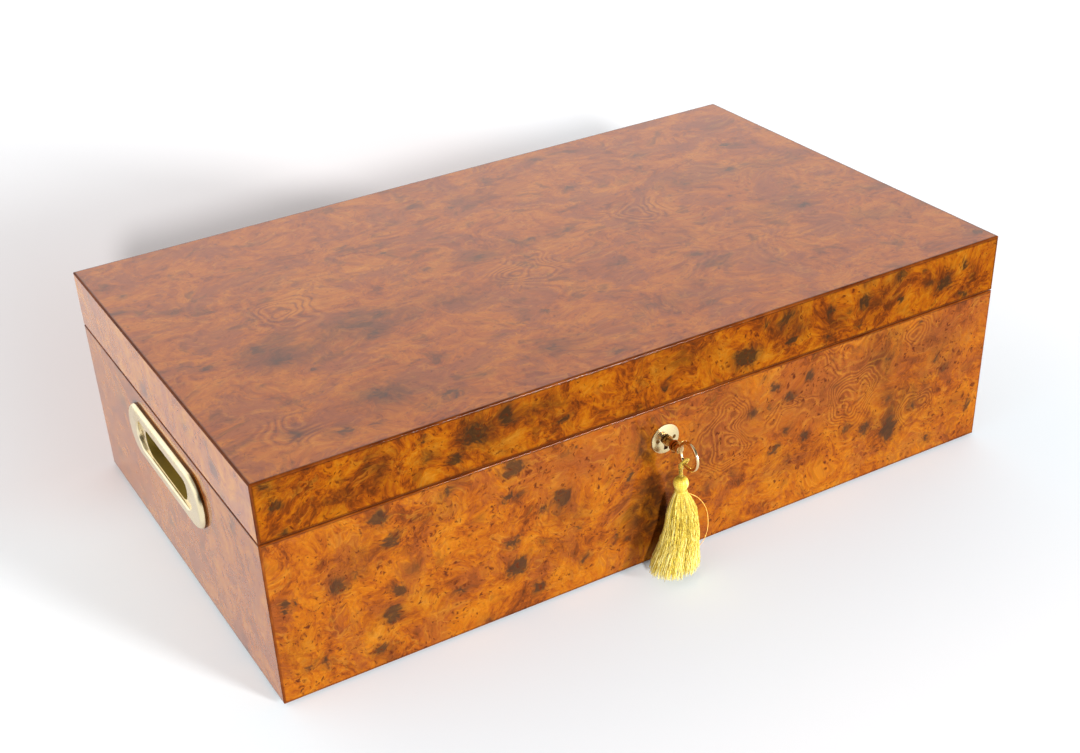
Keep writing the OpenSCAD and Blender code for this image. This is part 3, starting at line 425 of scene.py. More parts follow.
FRONT_BROWNS = [
    # the first two bands, left of the tassel, are a painted shadow of the tassel and key; the rest are the veneer's
    # brown figure
    (-1.0, 3.8, .85, 4.2, 0, 1.2), (-1.2, 8.2, .55, 2.0, 0, 1.0),
    (15.7, 8.3, 1.5, 3.2, 8, .62), (16.6, 4.2, 1.2, 3.0, -12, .66), (19.6, 7.9, 2.4, 2.0, 0, .42), (18.4, 5.0, 1.7, 1.9, 0, .52),
    (-14.5, 8.6, 2.2, .8, 18, .38), (-19.0, 7.6, 1.6, 1.3, 30, .42), (4.2, 9.4, 1.9, 1.6, 0, .30), (2.5, 6.0, 2.0, 2.4, 0, .34),
    (-6.0, 5.4, 1.6, 1.0, 0, .40), (-17.0, 3.2, 5.0, .8, 0, .30), (-7.0, 3.3, 3.4, .7, 0, .30), (9.0, 3.4, 4.6, .8, 0, .34), (20.5, 3.2, 3.0, .8, 0, .30), (-2.9, 3.2, 1.6, .8, 15, .42), (-22.9, 3.2, .8, 2.6, 0, .34), (11.8, 6.6, 1.0, 3.0, 0, .20),
]
FRONT_GLOWS = [
    (-22.0, 4.2, 1.4, 2.8, 15, 1.0), (-19.6, 2.3, 2.6, .9, 15, .8), (-13.4, 1.9, 3.6, 1.0, 6, 1.0), (-22.2, 8.2, 1.2, 1.0, 0, .7),
    (-15.4, 6.1, 2.4, .7, 20, .4), (-6.8, 1.6, 2.6, .9, 5, .8), (-.8, 1.0, 2.6, .7, 5, .6), (9.8, 1.6, 5.2, .8, 8, .9), (19.0, 1.4, 4.2, .7, 8, .7),
    (22.2, 4.8, 1.0, 2.0, 0, .7), (6.4, 7.2, 1.6, 1.6, 0, .4), (13.2, 7.0, 1.4, 2.0, 0, .5), (-4.6, 7.4, 1.6, 1.6, 0, .35),
]
FRONT_SWIRLS = [
    (13.6, 6.7, 2.1, 2.4, 0, 7.5), (4.3, 6.7, 2.1, 2.4, 0, 7.5), (18.4, 4.1, 1.1, 1.4, 0, 4.0), (18.3, 9.5, 1.1, .9, 0, 3.0),
    (12.4, 9.8, 1.8, 1.2, 0, 5.0), (8.8, 6.8, 2.2, .50, 0, 3.0),
]
FRONT_EYES = [(-14.6, 7.8, 1.9, 1.2, 0, 1.0), (-14.0, 4.9, 1.2, .5, 20, 1.0), (-20.4, 6.0, 1.4, 1.4, 0, .9), (-3.9, 6.4, .9, .8, 0, 1.0),
              (-3.2, 2.8, .8, .8, 0, 1.0), (20.8, 7.0, 1.2, 1.4, 0, .9), (21.0, 3.2, 1.6, 1.0, 0, .9), (9.4, 3.0, 1.4, .9, 0, .7)]

LIDF_BLOTS = [
    (-22.9, 12.2, .34, .26, 0, .86), (-23.3, 13.4, .42, .34, 10, .60), (-13.0, 11.4, .44, .34, -35, .85), (-11.8, 12.4, .80, .60, -20, .78),
    (-14.7, 13.1, .24, .20, 0, .62), (-9.8, 12.8, .50, .38, 0, .82), (-6.4, 11.5, .30, .46, -35, .66), (.1, 11.4, .24, .28, 0, .66),
    (5.4, 11.5, .70, .58, 0, .94), (6.8, 13.2, .40, .30, 0, .60), (8.6, 11.6, .34, .24, 20, .84), (8.2, 13.1, .70, .36, 10, .72),
    (11.3, 12.6, .28, .36, 0, .78), (11.3, 11.1, .26, .22, 0, .66), (13.9, 12.5, .40, .44, 0, .82), (13.7, 11.1, .28, .24, 0, .60),
    (16.6, 11.9, .22, .24, 0, .72), (16.4, 13.3, .70, .34, 15, .60), (19.9, 11.9, .36, .72, -35, .80), (21.6, 12.8, .26, .24, 0, .76),
    (18.3, 13.2, .26, .34, 0, .50), (21.6, 10.8, .60, .20, 10, .62),
]
LIDF_BROWNS = [
    (-17.4, 12.4, 1.0, 1.5, -35, .62), (-19.6, 11.4, 1.6, .5, 12, .55), (-11.4, 12.6, 2.0, 1.1, -20, .62), (-7.8, 12.6, 1.9, 1.0, 0, .66),
    (1.2, 12.8, 2.6, 1.0, 0, .52), (-9.9, 13.0, 1.4, .8, 0, .55), (8.6, 12.6, 2.2, 1.3, 0, .50), (11.6, 11.8, 1.4, 1.2, 0, .42),
    (14.8, 12.3, 1.8, 1.2, 0, .50), (19.4, 12.2, 1.3, 1.0, 30, .44), (-22.8, 13.2, 1.2, .7, 0, .45),
]
LIDF_GLOWS = [
    (-21.0, 12.0, 1.8, .7, 12, .8), (-14.8, 12.2, 1.7, 1.3, 0, .8), (-9.6, 11.4, 1.2, .6, 10, 1.0), (-3.4, 12.4, 2.6, .9, 0, .8), (-5.0, 10.9, 1.4, .4, 5, .6),
    (6.8, 11.2, 1.8, .7, 10, 1.0), (12.6, 13.0, 1.2, .6, 0, .6), (17.8, 11.2, 1.8, .6, 10, .8), (21.8, 13.0, 1.6, .6, 20, .8), (3.6, 12.6, .8, .8, 0, .5),
]

TOP_BLOTS = [
    (-6.9, 6.6, .62, .52, 0, .55), (-7.2, 5.1, .42, .40, 0, .45), (-4.6, 3.1, .40, .38, 0, .52), (-2.8, 1.4, .95, .80, 0, .62),
    (-1.0, -.9, .42, .34, 0, .66), (.3, 2.4, .52, .46, 0, .52), (2.7, 1.3, .60, .50, 0, .52), (4.3, 2.2, .70, .50, 0, .50),
    (-3.2, -2.5, .70, .40, 0, .46), (-.3, -5.3, .62, .38, 0, .50), (-12.1, -.9, .80, .60, 0, .62), (-11.2, -1.9, .90, .60, 0, .62),
    (-12.2, -3.7, 1.1, .72, 0, .70), (-13.2, -1.2, .8, .52, 0, .50), (-16.7, -1.1, .9, .70, 0, .56), (-17.9, -3.6, 1.3, 1.0, 0, .66),
    (-18.6, -1.8, .9, .8, 0, .62), (-10.6, -8.3, .52, .42, 0, .62), (-3.0, -7.0, .42, .40, 0, .78), (-4.9, -10.8, .85, .60, 0, .62),
    (-9.6, -11.2, .80, .50, 0, .58), (-11.8, -12.1, .72, .62, 0, .76), (-15.0, -9.9, .95, .80, 0, .72), (-14.0, -10.6, .60, .50, 0, .52),
    (-13.4, -12.6, .62, .42, 0, .60), (-20.1, -11.2, .80, .62, 0, .66), (-18.1, -12.2, .72, .56, 0, .78), (-16.3, -12.6, .42, .52, 0, .62),
    (-19.4, -8.2, .50, .44, 0, .48), (-13.2, 4.7, .36, .34, 0, .54), (-14.0, 6.0, .36, .36, 0, .42), (-13.0, 7.1, .32, .30, 0, .52),
    (-10.0, 5.9, .32, .30, 0, .46), (-4.8, 9.0, .52, .44, 0, .50), (-2.5, 10.5, .70, .60, 0, .50), (-.8, 6.1, .40, .40, 0, .58),
    (.2, 9.5, .60, .52, 0, .46), (-8.2, .7, .56, .40, 0, .44), (14.0, 9.1, .72, .62, 0, .62), (13.7, 3.2, .62, .56, 0, .62),
    (12.0, 3.9, .60, .44, 0, .54), (10.8, 6.0, .56, .48, 0, .52), (18.9, -1.3, .56, .46, 0, .58), (17.9, -2.5, .60, .42, 0, .54),
    (14.9, -3.5, .62, .46, 0, .54), (22.3, 2.4, .62, .50, 0, .56), (11.2, -2.4, .56, .44, 0, .52), (13.0, -3.7, .50, .44, 0, .48),
    (4.3, 2.2, .52, .42, 0, .48), (7.4, -.1, .52, .44, 0, .50), (3.6, -4.3, .92, .62, 0, .60), (3.2, -2.1, .62, .40, 0, .50),
    (8.5, -7.8, .56, .46, 0, .56), (6.1, -8.9, .50, .42, 0, .56), (2.0, -9.8, .62, .46, 0, .56), (.7, -10.6, .50, .40, 0, .56),
    (5.1, -11.4, .62, .42, 0, .56), (11.2, -9.3, .56, .44, 0, .54), (19.6, -7.3, .70, .52, 0, .52), (22.2, -3.7, .52, .44, 0, .50),
    (21.5, -2.3, .50, .42, 0, .50), (19.2, 7.3, .56, .52, 0, .50), (21.3, 10.4, .60, .52, 0, .50), (-.4, -5.3, .46, .36, 0, .46), (1.1, -7.5, .5, .36, 0, .46),
]
# seen at a low angle through the lacquer, so small and soft
TOP_BLOTS = [(x, y, 0.84 * a, 0.80 * b, t, 0.80 * e) for (x, y, a, b, t, e) in TOP_BLOTS]
TOP_BROWNS = [
    (-12.4, -2.4, 3.2, 1.6, -8, .66), (-17.6, -2.6, 2.6, 1.7, 0, .60), (-16.1, -3.5, 2.4, 1.4, 0, .46), (-14.6, -10.2, 2.8, 1.6, 0, .56),
    (-6.7, -2.6, 1.2, 3.0, 30, .42), (-4.6, -10.8, 2.6, 1.2, 0, .40), (19.7, 2.9, 2.8, 1.2, 10, .40), (20.7, -7.8, 2.8, 1.1, 10, .40),
    (4.0, -10.2, 3.0, 1.4, 0, .36), (14.0, 3.8, 3.0, 1.8, 0, .36), (-2.4, 1.8, 3.0, 1.2, 0, .36), (8.4, -2.9, 2.6, 1.6, 0, .24),
    (1.5, 9.5, 3.0, 1.4, 0, .34), (16.0, -3.2, 3.2, 1.3, 0, .36),
]
TOP_GLOWS = [
    (-9.4, 4.0, 3.4, 2.6, 0, .7), (-5.8, -5.4, 1.8, 2.2, 0, .8), (-8.6, -9.2, 1.6, 1.6, 0, .6), (2.6, -.4, 2.4, 1.0, 0, .6), (6.0, 5.6, 3.0, 1.6, 0, .6),
    (-15.4, 3.4, 3.0, 2.4, 0, .6), (10.4, 9.0, 2.4, 1.6, 0, .5), (16.4, 6.2, 2.6, 1.6, 0, .5), (-19.6, -6.2, 2.0, 1.4, 0, .5), (9.4, -5.4, 2.8, 1.4, 0, .4),
    (-1.8, -3.6, 1.6, .9, 0, .6), (14.6, -8.0, 3.0, 1.2, 0, .4),
]
TOP_SWIRLS = [(-15.2, 1.3, 2.0, 2.2, 0, 4.0), (-1.0, -1.6, 2.0, 2.4, 0, 4.0), (8.6, 1.6, 1.8, 2.0, 0, 3.0), (-20.4, -11.0, 1.8, 1.6, 0, 3.0)]
TOP_EYES = [(-15.0, -6.6, 1.6, 1.3, 0, .9), (-10.9, -6.2, 1.5, 1.0, 0, .9), (-4.9, -6.9, 1.3, 1.1, 0, 1.0), (-6.4, 3.0, 1.4, 1.2, 0, .7), (12.6, 1.0, 1.6, 1.2, 0, .7), (6.4, -3.6, 1.4, 1.0, 0, .6)]

LEFT_BLOTS = [
    (2.3, 11.1, .9, .50, 0, .50), (8.0, 7.7, .8, .60, 0, .50), (-8.8, 11.9, .6, .46, 0, .62), (-8.2, 13.1, .42, .34, 0, .46), (7.6, 10.2, .6, .50, 0, .46),
    (-4.8, 12.4, .52, .40, 0, .46), (-1.2, 5.2, .52, .46, 0, .36), (-6.8, 7.2, .60, .46, 0, .40), (7.5, .8, .42, .20, 0, .60), (-10.3, 9.1, .46, .44, 0, .50),
    (-9.5, 10.4, .42, .40, 0, .46), (10.4, 1.5, .42, .34, 0, .42),
]

# the handle plate's joint and its painted shadow, in cm on the end faces: centre, half length, radius
HANDLE_JOINT_AND_SHADE = (0.0, 7.56, 4.3, 1.70)
# the gains and tints differ from face to face as painted light and painted reflection haze: the fronts are darker, the
# ends lighter and bluer, the lid's leaves set apart from the case's
BURL = {
    "case_front": burl("burl_case_front", 0, 2, 1, 0.328, FRONT_BLOTS, FRONT_BROWNS, FRONT_GLOWS, FRONT_SWIRLS, FRONT_EYES, mirror=8.9, ragged=1.7, rim=(23.93, 0.19, 10.19),
                       coat=0.20, pinkish=0.48, contrast=0.9, pips=1.15, wisps=0.34, haze_tint=(1.0, 0.96, 0.9), blot=0.80,
                       haze_patches=[(11.0, 7.6, 5.0, 2.6, 0, 1.0), (4.0, 7.2, 2.6, 2.8, 0, .9), (20.0, 8.6, 3.6, 1.6, 0, .8), (-5.6, 8.6, 4.0, 1.6, 0, .7)]),
    "lid_front": burl("burl_lid_front", 0, 2, 2, 0.258, LIDF_BLOTS, LIDF_BROWNS, LIDF_GLOWS, (), (), ragged=1.7, rim=(23.88, 10.41, 13.73), coat=0.05, pinkish=0.10, contrast=1.25,
                      wisps=0.5, haze_tint=(1.0, 0.90, 0.7)),
    "top": burl("burl_top", 0, 1, 3, 0.548, TOP_BLOTS, TOP_BROWNS, TOP_GLOWS, TOP_SWIRLS, TOP_EYES, rim=(23.88, -14.13, 14.13), coat_ior=1.42, stretch=1.3, contrast=0.60,
                pinkish=0.70, lines=0.40, pips=0.45, haze_tint=(0.92, 0.86, 1.08), coal=(84, 60, 42), blot=0.72, ridges=0.3, blot_keep=0.86,
                wisps=0.55, grainy=0.35, fine=0.85, ragged=2.5),
    "left": burl("burl_left", 1, 2, 4, 0.64, LEFT_BLOTS, rim=(14.18, 0.19, 10.19), coat_ior=1.58, fine=0.25, contrast=0.60, pinkish=0.55, pips=0.20, haze_tint=(0.95, 1.07, 1.85), blot=0.5, blot_keep=0.88,
                 ridges=0.0, grainy=0.10, wisps=0.25, joint_and_shade=HANDLE_JOINT_AND_SHADE),
    "lid_left": burl("burl_lid_left", 1, 2, 4, 0.82, LEFT_BLOTS, coat_ior=1.98, fine=0.25, contrast=0.6, pinkish=0.5, pips=0.15, haze_tint=(0.90, 1.14, 2.7), blot=0.5,
                     blot_keep=0.88, ridges=0.0, grainy=0.10, wisps=0.2),
    "right": burl("burl_right", 1, 2, 5, 0.50, contrast=0.9, lines=0.6, joint_and_shade=HANDLE_JOINT_AND_SHADE),
    "lid_right": burl("burl_lid_right", 1, 2, 5, 0.50, contrast=0.9, lines=0.6),
    "back": burl("burl_back", 0, 2, 6, 0.52, swirls=[(-8.0, 6.0, 2.0, 2.2, 0, 5.0), (9.0, 7.0, 1.8, 2.0, 0, 4.0)], contrast=0.95, lines=0.5),
}


def lacquer_edge(name, coat, rough, arris_shade):
    mat, g, p = material(name)
    c = obj_coords(g)
    n = g.noise(c, 90.0, 4.0, 0.6, dims="3D")
    n2 = g.noise(c, 16.0, 2.0, 0.5, dims="3D")
    col = g.ramp(g.add(g.mul(n, 0.6), g.mul(n2, 0.4)), [(0.35, lin(104, 46, 12)), (0.5, lin(146, 74, 22)), (0.66, lin(186, 104, 36))])
    # painted shade: the multiplier darkens the arris colour to stand in for the dark surroundings the rounded edge
    # mirrors; the lid's arrises are darkened more
    g.put(p.inputs["Base Color"], g.mix(1.0, col, arris_shade, "MULTIPLY"))
    g.put(p.inputs["Roughness"], g.lerp(n, 0.3, 0.7, 0.3, 0.45))
    p.inputs["Specular IOR Level"].default_value = 0.0
    p.inputs["Coat Weight"].default_value = coat
    p.inputs["Coat Roughness"].default_value = rough
    p.inputs["Coat IOR"].default_value = 1.5
    return mat


EDGE = lacquer_edge("lacquer_edge", 0.20, 0.06, (0.44, 0.40, 0.34))
EDGE_LID = lacquer_edge("lacquer_edge_lid", 0.26, 0.10, (0.34, 0.30, 0.24))


def face_slots(node, faces, edge=EDGE):
    """Gives each flat face of a veneer node its own veneer leaf, and its rounded arrises the lacquer line."""
    o = N[node]
    me = o.data
    me.materials.clear()
    order = []
    for key in list(faces.values()) + ["edge"]:
        if key not in order:
            order.append(key)
    for key in order:
        me.materials.append(edge if key == "edge" else BURL[key])
    for poly in me.polygons:
        n = poly.normal
        best, val = max(((k, n.dot(Vector(k))) for k in faces), key=lambda kv: kv[1])
        poly.material_index = order.index(faces[best] if val > 0.995 else "edge")


face_slots("case_veneer", {(0, -1, 0): "case_front", (0, 1, 0): "back", (-1, 0, 0): "left", (1, 0, 0): "right"})
face_slots("lid_side_veneer", {(0, -1, 0): "lid_front", (0, 1, 0): "back", (-1, 0, 0): "lid_left", (1, 0, 0): "lid_right"}, EDGE_LID)
face_slots("lid_top_veneer", {(0, 0, 1): "top"}, EDGE_LID)


# ---------------------------------------------------------------- other woods
def cedar(name, along, seed, tone=1.0):
    """Spanish cedar, straight grain along axis 0, 1 or 2."""
    mat, g, p = material(name)
    c = g.v("ADD", obj_coords(g), (seed * 0.37, seed * 0.23, seed * 0.11))
    k = [1.0, 1.0, 1.0]
    k[along] = 0.045
    warp = g.v("SCALE", g.v("SUBTRACT", g.noise(c, 5.0, 2.0, dims="3D", color=True), (0.5, 0.5, 0.5)), scale=0.012)
    q = g.v("MULTIPLY", g.v("ADD", c, warp), k)
    ring = g.m("SINE", g.mul(g.noise(q, 26.0, 1.0, 0.4, dims="3D"), 46.0))
    band = g.noise(q, 60.0, 3.0, 0.55, dims="3D")
    fine = g.noise(q, 900.0, 2.0, 0.6, dims="3D")
    pore = g.step(g.noise(g.v("MULTIPLY", q, (1.0, 1.0, 1.0)), 1500.0, 1.0, dims="3D"), 0.60, 0.70)
    f = g.add(g.mul(ring, 0.065), g.mul(band, 0.42), g.mul(fine, 0.28), 0.165)
    col = g.ramp(f, [(0.28, lin(136, 82, 54)), (0.46, lin(172, 112, 78)), (0.62, lin(202, 144, 104)), (0.80, lin(220, 168, 128))])
    col = g.mix(g.mul(pore, 0.5), col, lin(104, 58, 36))
    g.put(p.inputs["Base Color"], g.mix(1.0, col, (tone, tone, tone), "MULTIPLY"))
    g.put(p.inputs["Roughness"], g.lerp(fine, 0.3, 0.7, 0.62, 0.80))
    p.inputs["Specular IOR Level"].default_value = 0.3
    g.put(p.inputs["Normal"], g.bump(g.add(g.mul(fine, 0.6), g.mul(pore, -0.6)), 0.25, 0.0004))
    return mat


CEDAR_X, CEDAR_Y = cedar("cedar_long", 0, 1), cedar("cedar_cross", 1, 2)
CEDAR_F, CEDAR_L = cedar("cedar_floor", 0, 3, 0.95), cedar("cedar_lid", 0, 4)
CEDAR_D = cedar("cedar_divider", 1, 5, 1.03)


def core_wood(name, along, cols, seed):
    mat, g, p = material(name)
    c = g.v("ADD", obj_coords(g), (seed * 0.31, seed * 0.17, 0.0))
    k = [1.0, 1.0, 1.0]
    k[along] = 0.06
    q = g.v("MULTIPLY", c, k)
    a = g.noise(q, 150.0, 4.0, 0.6, 0.4, dims="3D")
    b = g.noise(q, 1100.0, 2.0, 0.6, dims="3D")
    col = g.ramp(g.add(g.mul(a, 0.7), g.mul(b, 0.3)), [(0.30, lin(*cols[0])), (0.50, lin(*cols[1])), (0.70, lin(*cols[2]))])
    g.put(p.inputs["Base Color"], col)
    g.put(p.inputs["Roughness"], g.lerp(b, 0.3, 0.7, 0.28, 0.40))
    p.inputs["Coat Weight"].default_value = 0.5
    p.inputs["Coat Roughness"].default_value = 0.08
    g.put(p.inputs["Normal"], g.bump(b, 0.08, 0.0003))
    return mat


CORE_X = core_wood("rim_wood_long", 0, ((92, 44, 22), (128, 66, 34), (158, 88, 46)), 1)
CORE_Y = core_wood("rim_wood_cross", 1, ((92, 44, 22), (128, 66, 34), (158, 88, 46)), 2)
BOARD = core_wood("base_board", 0, ((120, 92, 62), (156, 124, 88), (184, 150, 110)), 3)


# ---------------------------------------------------------------- metals
def metal(name, haze_tint, dark, rough, scratch=0.25, seed=0.0):
    mat, g, p = material(name)
    c = g.v("ADD", obj_coords(g), (seed, seed * 0.5, 0.0))
    cloud = g.noise(c, 55.0, 3.0, 0.55, dims="3D")
    fine = g.noise(c, 900.0, 2.0, 0.6, dims="3D")
    brush = g.noise(g.v("MULTIPLY", c, (1.0, 0.06, 1.0)), 2600.0, 1.0, dims="3D")
    col = g.mix(g.step(cloud, 0.42, 0.72, 0.0, 0.55), lin(*haze_tint), lin(*dark))
    col = g.mix(g.step(fine, 0.58, 0.74, 0.0, 0.25), col, lin(*dark))
    g.put(p.inputs["Base Color"], col)
    p.inputs["Metallic"].default_value = 1.0
    r = g.add(g.lerp(cloud, 0.3, 0.7, rough * 0.75, rough * 1.35), g.mul(brush, 0.03))
    g.put(p.inputs["Roughness"], r)
    g.put(p.inputs["Normal"], g.bump(g.add(g.mul(brush, 0.5), g.mul(fine, 0.5)), scratch * 0.12, 0.0002))
    return mat


BRASS = metal("polished_brass", (240, 226, 190), (222, 200, 146), 0.21)
# painted shade: a dark copy of the brass for the handle plates' flanks, the escutcheon's rim and its screws, standing
# in for the shade and dark reflections there
BRASS_FLANK_SHADE = metal("plate_edge_brass_shaded", (126, 88, 44), (74, 48, 24), 0.30, 0.5, 9.0)
BRASS_ESC = metal("escutcheon_brass", (238, 220, 170), (196, 168, 108), 0.20, 0.35, 6.0)
BRASS_STEM = metal("key_brass", (184, 138, 78), (120, 82, 40), 0.22, 0.4, 2.0)
BRASS_RING = metal("key_ring_brass", (240, 218, 168), (186, 144, 88), 0.20, 0.3, 7.0)
# a darker copy of the brass for the handles' recessed cups: painted shade in the recess
BRASS_CUP_SHADE = metal("cup_brass_shaded", (186, 166, 92), (146, 126, 64), 0.48, 0.5, 1.0)
SCREW = metal("screw_brass", (196, 164, 98), (112, 84, 44), 0.22, 0.6, 3.0)
LOCK = metal("lock_brass", (208, 178, 104), (160, 126, 66), 0.28, 0.6, 4.0)
STEEL = metal("steel", (196, 196, 196), (150, 150, 152), 0.26, 0.6, 5.0)


# ---------------------------------------------------------------- plastics, paper, glass, foam, felt
def plain(name, cols, rough, scale=300.0, bump=0.15, spec=0.5, dist=0.0003):
    mat, g, p = material(name)
    c = obj_coords(g)
    a = g.noise(c, scale * 0.12, 3.0, 0.55, dims="3D")
    b = g.noise(c, scale, 2.0, 0.6, dims="3D")
    col = g.ramp(g.add(g.mul(a, 0.5), g.mul(b, 0.5)), [(0.34, lin(*cols[0])), (0.64, lin(*cols[1]))])
    g.put(p.inputs["Base Color"], col)
    g.put(p.inputs["Roughness"], g.lerp(b, 0.3, 0.7, rough * 0.85, rough * 1.15))
    p.inputs["Specular IOR Level"].default_value = spec
    g.put(p.inputs["Normal"], g.bump(b, bump, dist))
    return mat


PLASTIC = plain("black_plastic", ((20, 20, 21), (34, 34, 36)), 0.42, 1500.0, 0.3)
DIAL = plain("dial_face", ((236, 230, 212), (248, 243, 228)), 0.45, 500.0, 0.05)
NEEDLE = plain("needle_black", ((12, 12, 13), (22, 22, 24)), 0.35, 700.0, 0.05)
FELT = plain("felt", ((26, 44, 32), (46, 70, 52)), 0.95, 2600.0, 0.8, 0.1, 0.0006)


def foam_material():
    mat, g, p = material("humidifier_foam")
    c = obj_coords(g)
    vo = g.voronoi(c, 520.0, "3D")
    d = vo.outputs["Distance"]
    # the cells' pits are darker: painted shade in the pits
    col = g.ramp(d, [(0.05, lin(26, 48, 34)), (0.30, lin(58, 92, 66)), (0.62, lin(92, 130, 98))])
    g.put(p.inputs["Base Color"], col)
    g.put(p.inputs["Roughness"], g.lerp(d, 0.0, 0.6, 0.95, 0.8))
    g.put(p.inputs["Normal"], g.bump(d, 0.9, 0.0008))
    return mat


FOAM = foam_material()


def glass_material():
    mat, g, p = material("clear_glass")
    c = obj_coords(g)
    n = g.noise(c, 40.0, 2.0, dims="3D")
    g.put(p.inputs["Base Color"], g.mix(n, (0.96, 0.98, 0.97), (1.0, 1.0, 1.0)))
    g.put(p.inputs["Roughness"], g.lerp(n, 0.3, 0.7, 0.0, 0.02))
    p.inputs["Transmission Weight"].default_value = 1.0
    p.inputs["IOR"].default_value = 1.45
    return mat


GLASS = glass_material()


def silk(name, dark, mid, light, pale):
    """Silk thread. Each thread's own tone is on the mesh, partly painted shade; fine painted sheen bands run along it.
    """
    mat, g, p = material(name)
    tone = g.new("ShaderNodeAttribute", attribute_name="tone").outputs["Fac"]
    along = g.new("ShaderNodeAttribute", attribute_name="along").outputs["Fac"]
    c = obj_coords(g)
    n = g.noise(g.v("MULTIPLY", c, (1.0, 1.0, 0.25)), 700.0, 2.0, 0.6, dims="3D")
    ply = g.m("SINE", g.mul(along, 5200.0))
    f = g.add(tone, g.mul(g.m("SUBTRACT", n, 0.5), 0.5), g.mul(ply, 0.035))
    col = g.ramp(f, [(0.08, lin(*dark)), (0.38, lin(*mid)), (0.68, lin(*light)), (0.95, lin(*pale))])
    g.put(p.inputs["Base Color"], col)
    g.put(p.inputs["Roughness"], g.lerp(n, 0.3, 0.7, 0.34, 0.50))
    p.inputs["Specular IOR Level"].default_value = 0.55
    p.inputs["Sheen Weight"].default_value = 0.25
    p.inputs["Sheen Roughness"].default_value = 0.4
    p.inputs["Sheen Tint"].default_value = (1.0, 0.93, 0.62, 1.0)
    g.put(p.inputs["Normal"], g.bump(ply, 0.15, 0.0001))
    return mat


SILK = silk("silk", (112, 86, 16), (172, 142, 32), (216, 190, 66), (248, 236, 156))
SILK_ORANGE = silk("silk_stray", (150, 92, 20), (206, 144, 44), (232, 176, 72), (246, 206, 120))


# ---------------------------------------------------------------- CAD nodes get their materials
def wear(nodes, mat):
    for n in nodes:
        me = N[n].data
        me.materials.clear()
        me.materials.append(mat)


wear(["front_wall", "back_wall", "lid_front_rail", "lid_back_rail", "lid_top_panel"], CORE_X)
wear(["left_wall", "right_wall", "lid_left_rail", "lid_right_rail"], CORE_Y)
wear(["base_panel"], BOARD)
wear(["cedar_front_liner", "cedar_back_liner", "cedar_lid_strips"], CEDAR_X)
wear(["cedar_left_liner", "cedar_right_liner"], CEDAR_Y)
wear(["cedar_floor"], CEDAR_F)
wear(["cedar_lid_panel"], CEDAR_L)
wear(["left_divider", "right_divider"], CEDAR_D)
wear(["left_handle", "right_handle", "hygrometer_bezel", "left_hinge_case_leaf", "right_hinge_case_leaf",
      "left_hinge_lid_leaf", "right_hinge_lid_leaf", "left_hinge_stay", "right_hinge_stay", "hinge_pins"], BRASS)
wear(["escutcheon"], BRASS_ESC)
wear(["key"], BRASS_STEM)
wear(["handle_screws", "case_screws", "lid_screws"], SCREW)
wear(["escutcheon_screws"], BRASS_FLANK_SHADE)
wear(["lock_case", "lock_faceplate", "lock_post", "link_plate", "lock_curtain", "lock_bolt"], LOCK)
wear(["keeper_plates", "humidifier_magnets"], STEEL)
wear(["hygrometer_case", "hygrometer_movement", "humidifier_case", "humidifier_grille"], PLASTIC)
wear(["hygrometer_dial"], DIAL)
wear(["hygrometer_needle"], NEEDLE)
wear(["hygrometer_glass"], GLASS)


def parts_of(node, mat, inside):
    """A second material on the faces whose middle passes the test."""
    me = N[node].data
    me.materials.append(mat)
    k = len(me.materials) - 1
    for poly in me.polygons:
        if inside(poly.center, poly.normal):
            poly.material_index = k


for node in ("left_handle", "right_handle"):
    parts_of(node, BRASS_CUP_SHADE, lambda c, n: abs(c.x) < 0.2398)
    parts_of(node, BRASS_FLANK_SHADE, lambda c, n: abs(c.x) >= 0.2398 and abs(n.x) < 0.12 and math.hypot(max(abs(c.y) - 0.043, 0.0), c.z - 0.0756) > 0.0160)
parts_of("key", BRASS_RING, lambda c, n: c.y < -0.1557)
parts_of("escutcheon", BRASS_FLANK_SHADE, lambda c, n: abs(n.y) < 0.35 and math.hypot(c.x, c.z - 0.0809) > 0.0085)


# ---------------------------------------------------------------- mesh tools
def new_mesh(name, verts, faces, mat, smooth=True, attrs=None):
    me = bpy.data.meshes.new(name)
    me.from_pydata([tuple(v) for v in verts], [], faces)
    for key, vals in (attrs or {}).items():
        a = me.attributes.new(key, "FLOAT", "POINT")
        a.data.foreach_set("value", np.asarray(vals, np.float32))
    if smooth:
        me.polygons.foreach_set("use_smooth", [True] * len(me.polygons))
    me.materials.append(mat)
    me.update()
    o = bpy.data.objects.new(name, me)
    SCN.collection.objects.link(o)
    return o


def catmull(pts, n):
    """Smooth curve through the points, n steps a span."""
    pts = [Vector(p) for p in pts]
    out = []
    for i in range(len(pts) - 1):
        p0, p1, p2, p3 = pts[max(i - 1, 0)], pts[i], pts[i + 1], pts[min(i + 2, len(pts) - 1)]
        for k in range(n):
            t = k / n
            out.append(0.5 * ((2 * p1) + (p2 - p0) * t + (2 * p0 - 5 * p1 + 4 * p2 - p3) * t * t + (3 * p1 - p0 - 3 * p2 + p3) * t ** 3))
    out.append(pts[-1])
    return out


def frames(path):
    """Twist-free frames along a path: tangent, side and up at each point."""
    n = len(path)
    tan = [(path[min(i + 1, n - 1)] - path[max(i - 1, 0)]).normalized() for i in range(n)]
    side = tan[0].orthogonal().normalized()
    out = []
    for i in range(n):
        if i:
            side = (side - tan[i] * side.dot(tan[i])).normalized()
        out.append((tan[i], side, tan[i].cross(side)))
    return out


